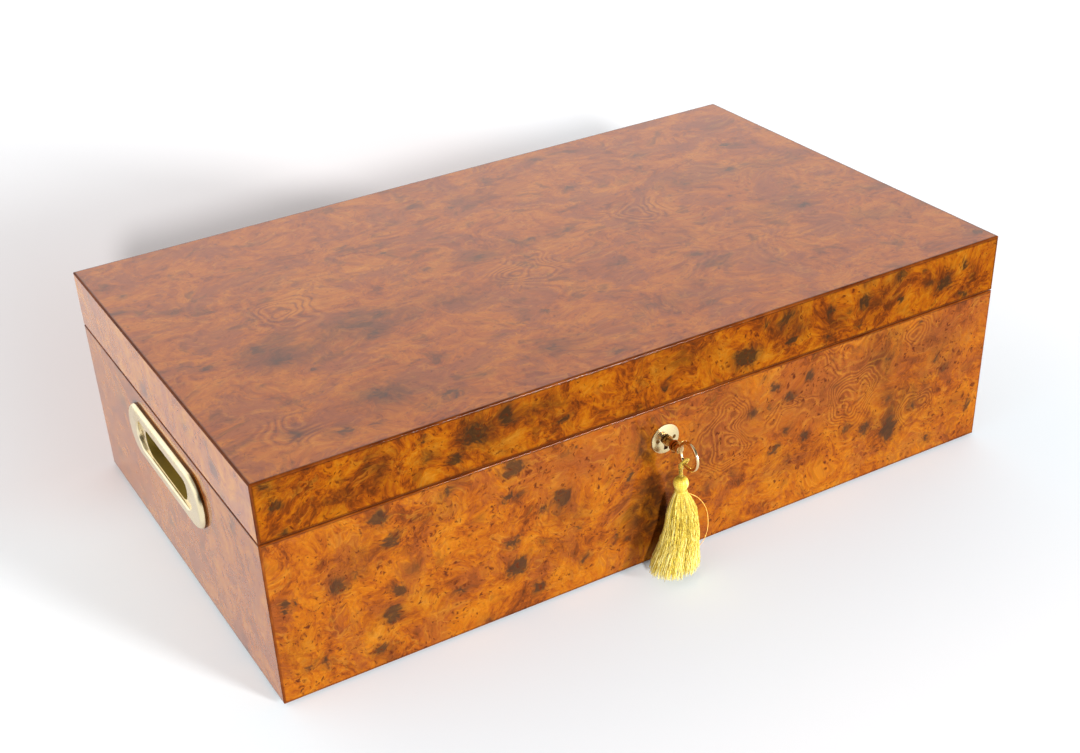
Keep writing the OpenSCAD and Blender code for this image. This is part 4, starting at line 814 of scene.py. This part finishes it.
class Bundle:
    """Collects many tubes into one mesh."""

    def __init__(self):
        self.v, self.f, self.tone, self.along = [], [], [], []

    def tube(self, path, radius, sides=5, tone=0.5, squash=1.0, closed=False):
        base, n = len(self.v), len(path)
        fr = frames(path)
        run = 0.0
        for i, p in enumerate(path):
            r = radius(i / (n - 1)) if callable(radius) else radius
            if i:
                run += (p - path[i - 1]).length
            _, a, b = fr[i]
            for k in range(sides):
                w = 2 * math.pi * k / sides
                self.v.append(p + a * (math.cos(w) * r) + b * (math.sin(w) * r * squash))
                self.tone.append(tone(i / (n - 1)) if callable(tone) else tone)
                self.along.append(run)
        for i in range(n - 1):
            for k in range(sides):
                k2 = (k + 1) % sides
                self.f.append((base + i * sides + k, base + i * sides + k2, base + (i + 1) * sides + k2, base + (i + 1) * sides + k))
        if closed:
            i = n - 1
            for k in range(sides):
                k2 = (k + 1) % sides
                self.f.append((base + i * sides + k, base + i * sides + k2, base + k2, base + k))
        else:
            self.f.append(tuple(base + k for k in reversed(range(sides))))
            self.f.append(tuple(base + (n - 1) * sides + k for k in range(sides)))

    def cord(self, path, radius, plies=2, pitch=0.0042, tone=0.5, sides=8, spread=0.12, threads=0, seed=1, phase=0.0):
        """A twisted cord: its plies wind round the path, and fine threads round each ply."""
        rng = random.Random(seed)
        fr = frames(path)
        ply_r = radius * (0.52 if plies == 2 else 0.46)
        off = radius - ply_r
        runs = [0.0]
        for i in range(1, len(path)):
            runs.append(runs[-1] + (path[i] - path[i - 1]).length)
        for j in range(plies):
            pts = []
            for i, p in enumerate(path):
                w = phase + 2 * math.pi * (runs[i] / pitch + j / plies)
                pts.append(p + (fr[i][1] * math.cos(w) + fr[i][2] * math.sin(w)) * off)
            self.tube(pts, ply_r * 0.96, sides, tone + rng.uniform(-spread, spread))
            pf = frames(pts)
            for t in range(threads):
                th = []
                for i, p in enumerate(pts):
                    w = -2 * math.pi * (runs[i] / (pitch * 0.8)) + 2 * math.pi * t / threads
                    th.append(p + (pf[i][1] * math.cos(w) + pf[i][2] * math.sin(w)) * (ply_r * 0.86))
                self.tube(th, ply_r * 0.26, 5, tone + rng.uniform(-2 * spread, 2 * spread))

    def build(self, name, mat):
        return new_mesh(name, self.v, self.f, mat, attrs={"tone": self.tone, "along": self.along})


# ---------------------------------------------------------------- tassel
HEAD = Vector((0.0, -158.2, 60.5)) * MM
KNOT = Vector((0.0, -158.2, 70.7)) * MM
RING = Vector((0.0, -165.1, 80.9)) * MM
RINGS = [(0, -0.1, -5.6, 3.4, 3.2), (-0.1, -0.2, -6.9, 3.9, 3.5), (0.05, -0.3, -10.5, 6, 5.1), (0.6, -0.6, -18.5, 9, 7.6),
         (0.3, -0.9, -30.5, 10.6, 8.9), (-2.2, -1.2, -42.5, 12.6, 10.6), (-3.8, -1.4, -50, 14.2, 11.9), (-4.7, -1.5, -56, 15.2, 12.6)]


def skirt_at(z):
    """Centre and half widths of the skirt at height z below the head's centre, in mm."""
    if z >= RINGS[0][2]:
        return RINGS[0]
    for a, b in zip(RINGS, RINGS[1:]):
        if z >= b[2]:
            t = (a[2] - z) / (a[2] - b[2])
            return tuple(a[i] + (b[i] - a[i]) * t for i in range(5))
    return RINGS[-1]


def make_skirt():
    rng = random.Random(7)
    b = Bundle()
    count = 1180
    for i in range(count):
        ang = rng.uniform(0, 2 * math.pi)
        outer = i % 3 == 0
        rho = rng.uniform(0.90, 0.99) if outer else 0.25 + 0.70 * math.sqrt(rng.random())
        # the fringe is a little longer at the front right and frays out at the lower left
        end = -55.6 + rng.random() ** 2 * 3.0 + 0.5 * math.cos(ang - 0.3)
        if rng.random() < 0.10:
            end += rng.uniform(2, 9)
        amp = rng.uniform(0.12, 0.50) * (1.0 if rng.random() < 0.75 else 1.9)
        wl = rng.uniform(4.0, 11.0)
        ph, ph2 = rng.uniform(0, 6.28), rng.uniform(0, 6.28)
        drift = rng.gauss(0, 0.11)
        tuft = 0.30 * math.sin(ang * 6 + 1.3) + 0.22 * math.sin(ang * 11 + 4)
        lean = rng.gauss(0, 0.45)
        pts = []
        steps = 30
        for k in range(steps + 1):
            t = k / steps
            z = -5.0 + (end + 5.0) * t
            cx, cy, _, ax, ay = skirt_at(z)
            a = ang + drift * t + 0.035 * math.sin(z / 9 + ph)
            grow = min(1.0, 3 * t)
            wob = amp * grow * math.sin(2 * math.pi * z / wl + ph)
            wob2 = amp * 0.8 * grow * math.sin(2 * math.pi * z / (wl * 1.31) + ph2)
            rr = min(rho * (1 + 0.10 * tuft * t), 1.0)
            x = cx + ax * rr * math.cos(a) - math.sin(a) * wob + lean * t * t
            y = cy + ay * rr * math.sin(a) + math.cos(a) * wob2
            pts.append(HEAD + Vector((x, y, z)) * MM)
        # painted shade and light: inner threads darker and outer ones lighter, and the threads paler towards their
        # ends as a painted glow of light through the thin fringe
        shade = 0.44 + 0.34 * (rho - 0.7) + 0.10 * tuft + rng.gauss(0, 0.18)
        b.tube(pts, lambda t, r=rng.uniform(0.10, 0.19): r * MM * (1.0 if t < 0.96 else 0.7), 4, lambda t, q=shade: q + 0.34 * t * t * t)
    # loose threads that stand off the sides and splay out at the lower left
    for i in range(70):
        left = i < 40
        ang = rng.gauss(math.pi * 1.02, 0.50) if left else rng.uniform(0, 6.28)
        far = rng.uniform(0.3, 1.6)
        z0 = rng.uniform(-12, -34)
        low = rng.uniform(-52.0, -56.3)
        ph = rng.uniform(0, 6.28)
        pts = []
        for k in range(31):
            t = k / 30
            z = z0 + (low - z0) * t
            cx, cy, _, ax, ay = skirt_at(z)
            spread = 0.97 + (0.035 * math.sin(math.pi * t) * far) + max(0.0, t - 0.70) * 0.16 * far
            wob = 0.35 * math.sin(9 * t + ph) + 0.2 * math.sin(17 * t + ph * 2)
            pts.append(HEAD + Vector((cx + ax * spread * math.cos(ang) - math.sin(ang) * wob, cy + ay * min(spread, 1.02) * math.sin(ang) + math.cos(ang) * wob, z)) * MM)
        b.tube(pts, 0.13 * MM, 4, 0.70 + rng.gauss(0, 0.15))
    return b.build("tassel_skirt_threads", SILK)


def make_head():
    """Threads folded down over a ball, bound at the neck, and the cord that comes out of its top."""
    rng = random.Random(11)
    b = Bundle()
    # ball: threads laid as meridians over a solid core
    prof = [(0.9, 3.78), (2.1, 3.38), (3.2, 2.5), (3.97, 1.35), (4.35, -0.1), (4.33, -1.3), (3.98, -2.4), (3.5, -3.4), (3.25, -4.2), (3.4, -5.1), (3.7, -5.9)]
    prof = catmull([(r, 0, z) for r, z in prof], 3)
    for i in range(76):
        a0 = 2 * math.pi * i / 76 + rng.uniform(-0.02, 0.02)
        pts = []
        for k, p in enumerate(prof):
            a = a0 + 0.22 * (k / len(prof)) + 0.01 * math.sin(k * 0.7 + i)
            r = p.x - 0.24 + rng.uniform(-0.03, 0.03)
            pts.append(HEAD + Vector((r * math.cos(a), r * math.sin(a), p.z)) * MM)
        # the threads darken towards the ball's top: painted shade where the cord enters
        b.tube(pts, lambda t, r=rng.uniform(0.22, 0.30): r * MM * (0.55 + 0.45 * min(1.0, t * 5)), 5, lambda t, q=0.66 + rng.gauss(0, 0.09): q - 0.60 * max(0.0, 1 - 3.4 * t))
    core = []
    for p in prof:
        core.append(HEAD + Vector((0, 0, p.z)) * MM)
    radii = [max(p.x - 0.42, 0.3) * MM for p in prof]
    b.tube(core, lambda t: radii[min(len(radii) - 1, int(round(t * (len(radii) - 1))))], 40, 0.45)
    # neck binding: close turns of thread
    turns = 5
    pts = []
    for k in range(turns * 26 + 1):
        a = 2 * math.pi * k / 26
        z = -3.55 - 0.36 * k / 26
        r = 3.42 - 0.10 * math.sin(math.pi * k / (turns * 26)) + 0.03 * math.sin(a * 3)
        pts.append(HEAD + Vector((r * math.cos(a), r * math.sin(a), z)) * MM)
    b.tube(pts, 0.215 * MM, 6, 0.42)
    # twisted cord from the head up to the knot
    path = catmull([HEAD + Vector(p) * MM for p in ((0, 0, 3.2), (-0.1, 0, 5.2), (-0.25, 0, 7.0), (-0.15, 0, 8.7), (0, 0, 9.6))], 8)
    b.cord(path, 1.22 * MM, 3, 0.0046, 0.20, 10, threads=6, seed=5)
    # knot: three wrapped turns round the loop's legs
    for j, (tilt, rad, dz) in enumerate(((18, 1.22, -0.75), (-14, 1.32, 0.1), (12, 1.15, 0.85))):
        ring = []
        m = Matrix.Rotation(math.radians(tilt), 3, "Y") @ Matrix.Rotation(math.radians(-25), 3, "X")
        for k in range(22):
            a = 2 * math.pi * k / 22
            ring.append(KNOT + (m @ Vector((rad * math.cos(a), rad * math.sin(a), dz))) * MM)
        b.tube(ring, 0.48 * MM, 8, 0.20 + 0.08 * j, closed=True)
    b.tube(catmull([KNOT + Vector((0, 0.5, -1.5)) * MM, KNOT + Vector((0, 0, 0)) * MM, KNOT + Vector((0, -0.6, 1.2)) * MM], 5), 0.95 * MM, 10, 0.5)
    return b.build("tassel_cord_and_head", SILK)


def make_loop():
    """The cord's loop, hitched round the key's ring."""
    d = (RING - KNOT).normalized()
    side = Vector((1, 0, 0))
    b = Bundle()
    pts = [(-1.2, 1.5), (-1.65, 2.4), (-1.95, 3.4), (-2.05, 4.9), (-1.9, 6.5), (-1.25, 7.9), (0, 8.5),
           (1.25, 7.9), (1.9, 6.5), (2.05, 4.9), (1.95, 3.4), (1.65, 2.4), (1.2, 1.5)]
    path = catmull([KNOT + (side * x + d * y) * MM for x, y in pts], 6)
    b.cord(path, 0.80 * MM, 2, 0.0026, 0.34, 8, threads=5, seed=9)
    # two slack turns of the same cord that lie beside the loop inside the ring
    for lift, wide, shift, tone in ((0.9, 0.55, 0.75, 0.36), (-0.9, 0.40, -0.70, 0.62)):
        path = catmull([KNOT + (side * (x * wide + shift) + d * (y * (1 + 0.05 * lift)) + Vector((0, -0.35 * lift, 0))) * MM for x, y in pts[1:-1]], 6)
        b.cord(path, 0.52 * MM, 2, 0.0020, tone, 6, threads=3, seed=13 + int(lift * 10))
    return b.build("tassel_loop_cord", SILK)


STRAY = [(4.9, -0.3, -9.2), (7, -0.3, -10.6), (12.2, -0.5, -15.2), (16.6, -1.2, -22.7), (17.5, -2.4, -30.2), (16.3, -3.8, -36), (13.4, -5.2, -40.3),
         (10.9, -6, -42.1), (8.4, -6.5, -43.3)]


def make_stray():
    path = catmull([HEAD + Vector(p) * MM for p in STRAY], 4)
    b = Bundle()
    b.cord(path, 0.27 * MM, 2, 0.0016, 0.62, 6, 0.1, threads=0, seed=3)
    o = b.build("tassel_stray_thread", SILK_ORANGE)
    return o, path


skirt = make_skirt()
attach(skirt, "tassel_skirt"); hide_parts("tassel_skirt")
head = make_head()
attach(head, "tassel"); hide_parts("tassel_cord", "tassel_head")
loop = make_loop()
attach(loop, "key"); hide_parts("tassel_cord_loop")
stray, stray_path = make_stray()
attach(stray, "tassel_skirt"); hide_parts("tassel_loose_thread")


# ---------------------------------------------------------------- felt and foam
def make_felt():
    """Felt sheet let into the underside, with a soft, slightly uneven edge and nap."""
    lo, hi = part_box("base_felt")
    rng = random.Random(21)
    nx, ny = 158, 93
    verts, faces = [], []

    def wob(i, j):
        return 0.12 * MM * math.sin(i * 0.9 + 1.7 * math.sin(j * 0.31)) + 0.08 * MM * math.sin(j * 1.3 + i * 0.21)

    for layer in (0, 1):
        for j in range(ny + 1):
            for i in range(nx + 1):
                x = lo.x + (hi.x - lo.x) * i / nx
                y = lo.y + (hi.y - lo.y) * j / ny
                edge = i in (0, nx) or j in (0, ny)
                if edge:
                    x -= math.copysign(0.25 * MM + abs(wob(i, j)), x) if i in (0, nx) else 0
                    y -= math.copysign(0.25 * MM + abs(wob(j, i)), y) if j in (0, ny) else 0
                if layer == 0:
                    z = 0.0 + (0.25 * MM if edge else rng.random() * 0.10 * MM)
                else:
                    z = hi.z - (0.15 * MM if edge else 0.0)
                verts.append((x, y, z))
    row, lay = nx + 1, (nx + 1) * (ny + 1)
    for j in range(ny):
        for i in range(nx):
            a = j * row + i
            faces.append((a, a + row, a + row + 1, a + 1))
            faces.append((lay + a, lay + a + 1, lay + a + row + 1, lay + a + row))
    rim = [i for i in range(nx)] + [j * row + nx for j in range(ny)] + [ny * row + i for i in range(nx, 0, -1)] + [j * row for j in range(ny, 0, -1)]
    for a, b in zip(rim, rim[1:] + rim[:1]):
        faces.append((a, b, lay + b, lay + a))
    o = new_mesh("base_felt_sheet", verts, faces, FELT)
    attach(o, "case"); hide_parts("base_felt")


def make_foam():
    """Open-cell foam block with a pitted skin and slightly pulled-in sides."""
    lo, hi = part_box("humidifier_foam")
    rng = random.Random(5)
    step = 1.6 * MM
    nx, ny, nz = [max(3, int(round((hi[k] - lo[k]) / step))) for k in range(3)]
    idx, verts, faces = {}, [], []

    def vert(i, j, k):
        key = (i, j, k)
        if key not in idx:
            p = Vector((lo.x + (hi.x - lo.x) * i / nx, lo.y + (hi.y - lo.y) * j / ny, lo.z + (hi.z - lo.z) * k / nz))
            pull = Vector((0, 0, 0))
            on = [i in (0, nx), j in (0, ny), k in (0, nz)]
            for ax, (flag, c, n) in enumerate(zip(on, (i, j, k), (nx, ny, nz))):
                if flag:
                    pull[ax] = (1 if c == 0 else -1) * (0.12 + 0.45 * rng.random() ** 3) * MM
            if sum(on) > 1:
                pull *= 2.0
            idx[key] = len(verts)
            verts.append(p + pull)
        return idx[key]

    def quad(a, b, c, d):
        faces.append((vert(*a), vert(*b), vert(*c), vert(*d)))

    for i in range(nx):
        for j in range(ny):
            quad((i, j, 0), (i, j + 1, 0), (i + 1, j + 1, 0), (i + 1, j, 0))
            quad((i, j, nz), (i + 1, j, nz), (i + 1, j + 1, nz), (i, j + 1, nz))
        for k in range(nz):
            quad((i, 0, k), (i + 1, 0, k), (i + 1, 0, k + 1), (i, 0, k + 1))
            quad((i, ny, k), (i, ny, k + 1), (i + 1, ny, k + 1), (i + 1, ny, k))
    for j in range(ny):
        for k in range(nz):
            quad((0, j, k), (0, j, k + 1), (0, j + 1, k + 1), (0, j + 1, k))
            quad((nx, j, k), (nx, j + 1, k), (nx, j + 1, k + 1), (nx, j, k + 1))
    o = new_mesh("humidifier_foam_block", verts, faces, FOAM)
    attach(o, "humidifier"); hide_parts("humidifier_foam")


make_felt()
make_foam()


# ---------------------------------------------------------------- hygrometer dial marks
def make_dial():
    cx, cy, z = 0.0, -55.0, 123.36
    verts, faces = [], []

    def bar(a_deg, r0, r1, w):
        a = math.radians(a_deg)
        u = Vector((math.sin(a), -math.cos(a), 0))
        s = Vector((math.cos(a), math.sin(a), 0))
        base = len(verts)
        for zz in (z - 0.02, z + 0.05):
            for r, t in ((r0, -w), (r0, w), (r1, w), (r1, -w)):
                verts.append((Vector((cx, cy, zz)) + u * r + s * t) * MM)
        for q in ((0, 1, 2, 3), (7, 6, 5, 4), (0, 4, 5, 1), (1, 5, 6, 2), (2, 6, 7, 3), (3, 7, 4, 0)):
            faces.append(tuple(base + i for i in q))

    def arc(r0, r1, a0, a1, n=120):
        base = len(verts)
        for i in range(n + 1):
            a = math.radians(a0 + (a1 - a0) * i / n)
            for r, zz in ((r0, z - 0.02), (r1, z - 0.02), (r1, z + 0.05), (r0, z + 0.05)):
                verts.append(Vector((cx + r * math.sin(a), cy - r * math.cos(a), zz)) * MM)
        for i in range(n):
            for k in range(4):
                k2 = (k + 1) % 4
                faces.append((base + 4 * i + k, base + 4 * i + k2, base + 4 * i + 4 + k2, base + 4 * i + 4 + k))
        faces.append(tuple(base + k for k in range(3, -1, -1)))
        faces.append(tuple(base + 4 * n + k for k in range(4)))

    for v in range(0, 101, 2):
        a = -135 + 2.7 * v
        bar(a, 18.2 if v % 10 == 0 else 19.4, 20.8, 0.22 if v % 10 == 0 else 0.11)
    arc(20.8, 21.15, -135, 135)
    arc(23.0, 23.3, 0, 360, 160)
    marks = new_mesh("hygrometer_marks", verts, faces, NEEDLE, smooth=False)
    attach(marks, "lid")
    dg = None
    for v in range(0, 101, 10):
        a = math.radians(-135 + 2.7 * v)
        cu = bpy.data.curves.new(f"n{v}", "FONT")
        cu.body = str(v)
        cu.size = 3.6 * MM
        cu.extrude = 0.03 * MM
        cu.align_x = "CENTER"
        cu.align_y = "CENTER"
        tmp = bpy.data.objects.new(f"n{v}", cu)
        SCN.collection.objects.link(tmp)
        bpy.context.view_layer.update()
        me = bpy.data.meshes.new_from_object(tmp.evaluated_get(bpy.context.evaluated_depsgraph_get()))
        bpy.data.objects.remove(tmp)
        bpy.data.curves.remove(cu)
        r = 15.7
        m = Matrix.Translation(Vector((cx + r * math.sin(a), cy - r * math.cos(a), z)) * MM) @ Matrix.Rotation(math.pi, 4, "X")
        me.transform(m)
        me.materials.clear()
        me.materials.append(NEEDLE)
        o = bpy.data.objects.new(f"hygrometer_number_{v}", me)
        SCN.collection.objects.link(o)
        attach(o, "lid")


make_dial()


# ---------------------------------------------------------------- floor, world, lights
def make_floor():
    n = 48
    size = 9.0
    verts, faces = [], []
    for j in range(n + 1):
        for i in range(n + 1):
            verts.append((-size + 2 * size * i / n, -size + 2 * size * j / n, -0.0003))
    for j in range(n):
        for i in range(n):
            a = j * (n + 1) + i
            faces.append((a, a + 1, a + n + 2, a + n + 1))
    mat, g, p = material("studio_floor")
    c = obj_coords(g)
    a = g.noise(c, 1.4, 3.0, dims="3D")
    base = g.ramp(a, [(0.3, (0.875, 0.884, 0.900)), (0.7, (0.905, 0.912, 0.926))])
    # painted shade on the floor: darker and cool-tinted close to the box's sides and front, and a warm darker tone
    # spreading behind it as a painted shadow and bounce
    q = g.xyz(c)
    dx = g.m("MAXIMUM", g.m("SUBTRACT", g.m("ABSOLUTE", q[0]), 0.24), 0.0)
    dy = g.m("MAXIMUM", g.m("SUBTRACT", g.m("ABSOLUTE", q[1]), 0.1425), 0.0)
    back = g.mul(g.step(q[1], 0.05, 0.16), g.step(g.m("ABSOLUTE", q[0]), 0.46, 0.18))
    near = g.step(g.v("LENGTH", g.vec(dx, dy, 0.0)), g.lerp(back, 0.0, 1.0, 0.24, 0.72), 0.0)
    tone = g.mix(g.step(q[0], -0.18, -0.30), (0.815, 0.89, 0.935), (0.88, 0.945, 0.975))
    tone = g.mix(back, tone, (0.74, 0.665, 0.65))
    g.put(p.inputs["Base Color"], g.mix(near, base, tone))
    p.inputs["Roughness"].default_value = 0.7
    p.inputs["Specular IOR Level"].default_value = 0.2
    o = new_mesh("studio_floor", verts, faces, mat)


def make_world():
    w = bpy.data.worlds.new("studio")
    SCN.world = w
    w.use_nodes = True
    w.node_tree.nodes.clear()
    g = Net(w.node_tree)
    out = g.new("ShaderNodeOutputWorld")
    bg = g.new("ShaderNodeBackground")
    g.put(out.inputs[0], bg.outputs[0])
    d = g.new("ShaderNodeTexCoord").outputs["Generated"]
    side = g.v("DOT_PRODUCT", d, tuple(Vector((-0.30, 0.85, 0.40)).normalized()))
    up = g.xyz(d)[2]
    lum = g.mul(g.step(side, -0.30, 0.30, 0.05, 1.06), g.step(up, 0.88, 0.60, 0.38, 1.12))
    lum = g.add(lum, g.mul(g.step(side, 0.2, 0.8), g.step(up, 0.60, 0.40), 0.30))
    lum = g.m("MAXIMUM", lum, g.step(up, 0.30, 0.06, 0.0, 0.62))
    col = g.mix(1.0, g.vec(lum, lum, lum), (1.0, 0.988, 0.984), "MULTIPLY")
    g.put(bg.inputs["Color"], col)
    bg.inputs["Strength"].default_value = 1.0


def sun(name, to, strength, angle, mirrored=True, color=(1, 1, 1)):
    ld = bpy.data.lights.new(name, "SUN")
    ld.energy = strength
    ld.angle = math.radians(angle)
    ld.color = color
    o = bpy.data.objects.new(name, ld)
    o.rotation_mode = "QUATERNION"
    o.rotation_quaternion = Vector(to).to_track_quat("Z", "Y")
    o.location = Vector(to) * 3.0
    o.visible_glossy = mirrored
    SCN.collection.objects.link(o)


make_floor()
make_world()
sun("key_light", (-0.30, -0.887, 0.349), 1.08 * math.pi, 4.6, False)
sun("side_light", (0.44, -0.88, 0.19), 1.42 * math.pi, 12.0)

SCN.view_settings.view_transform = "Standard"
SCN.view_settings.look = "None"
SCN.view_settings.exposure = 0.0
SCN.view_settings.gamma = 1.0
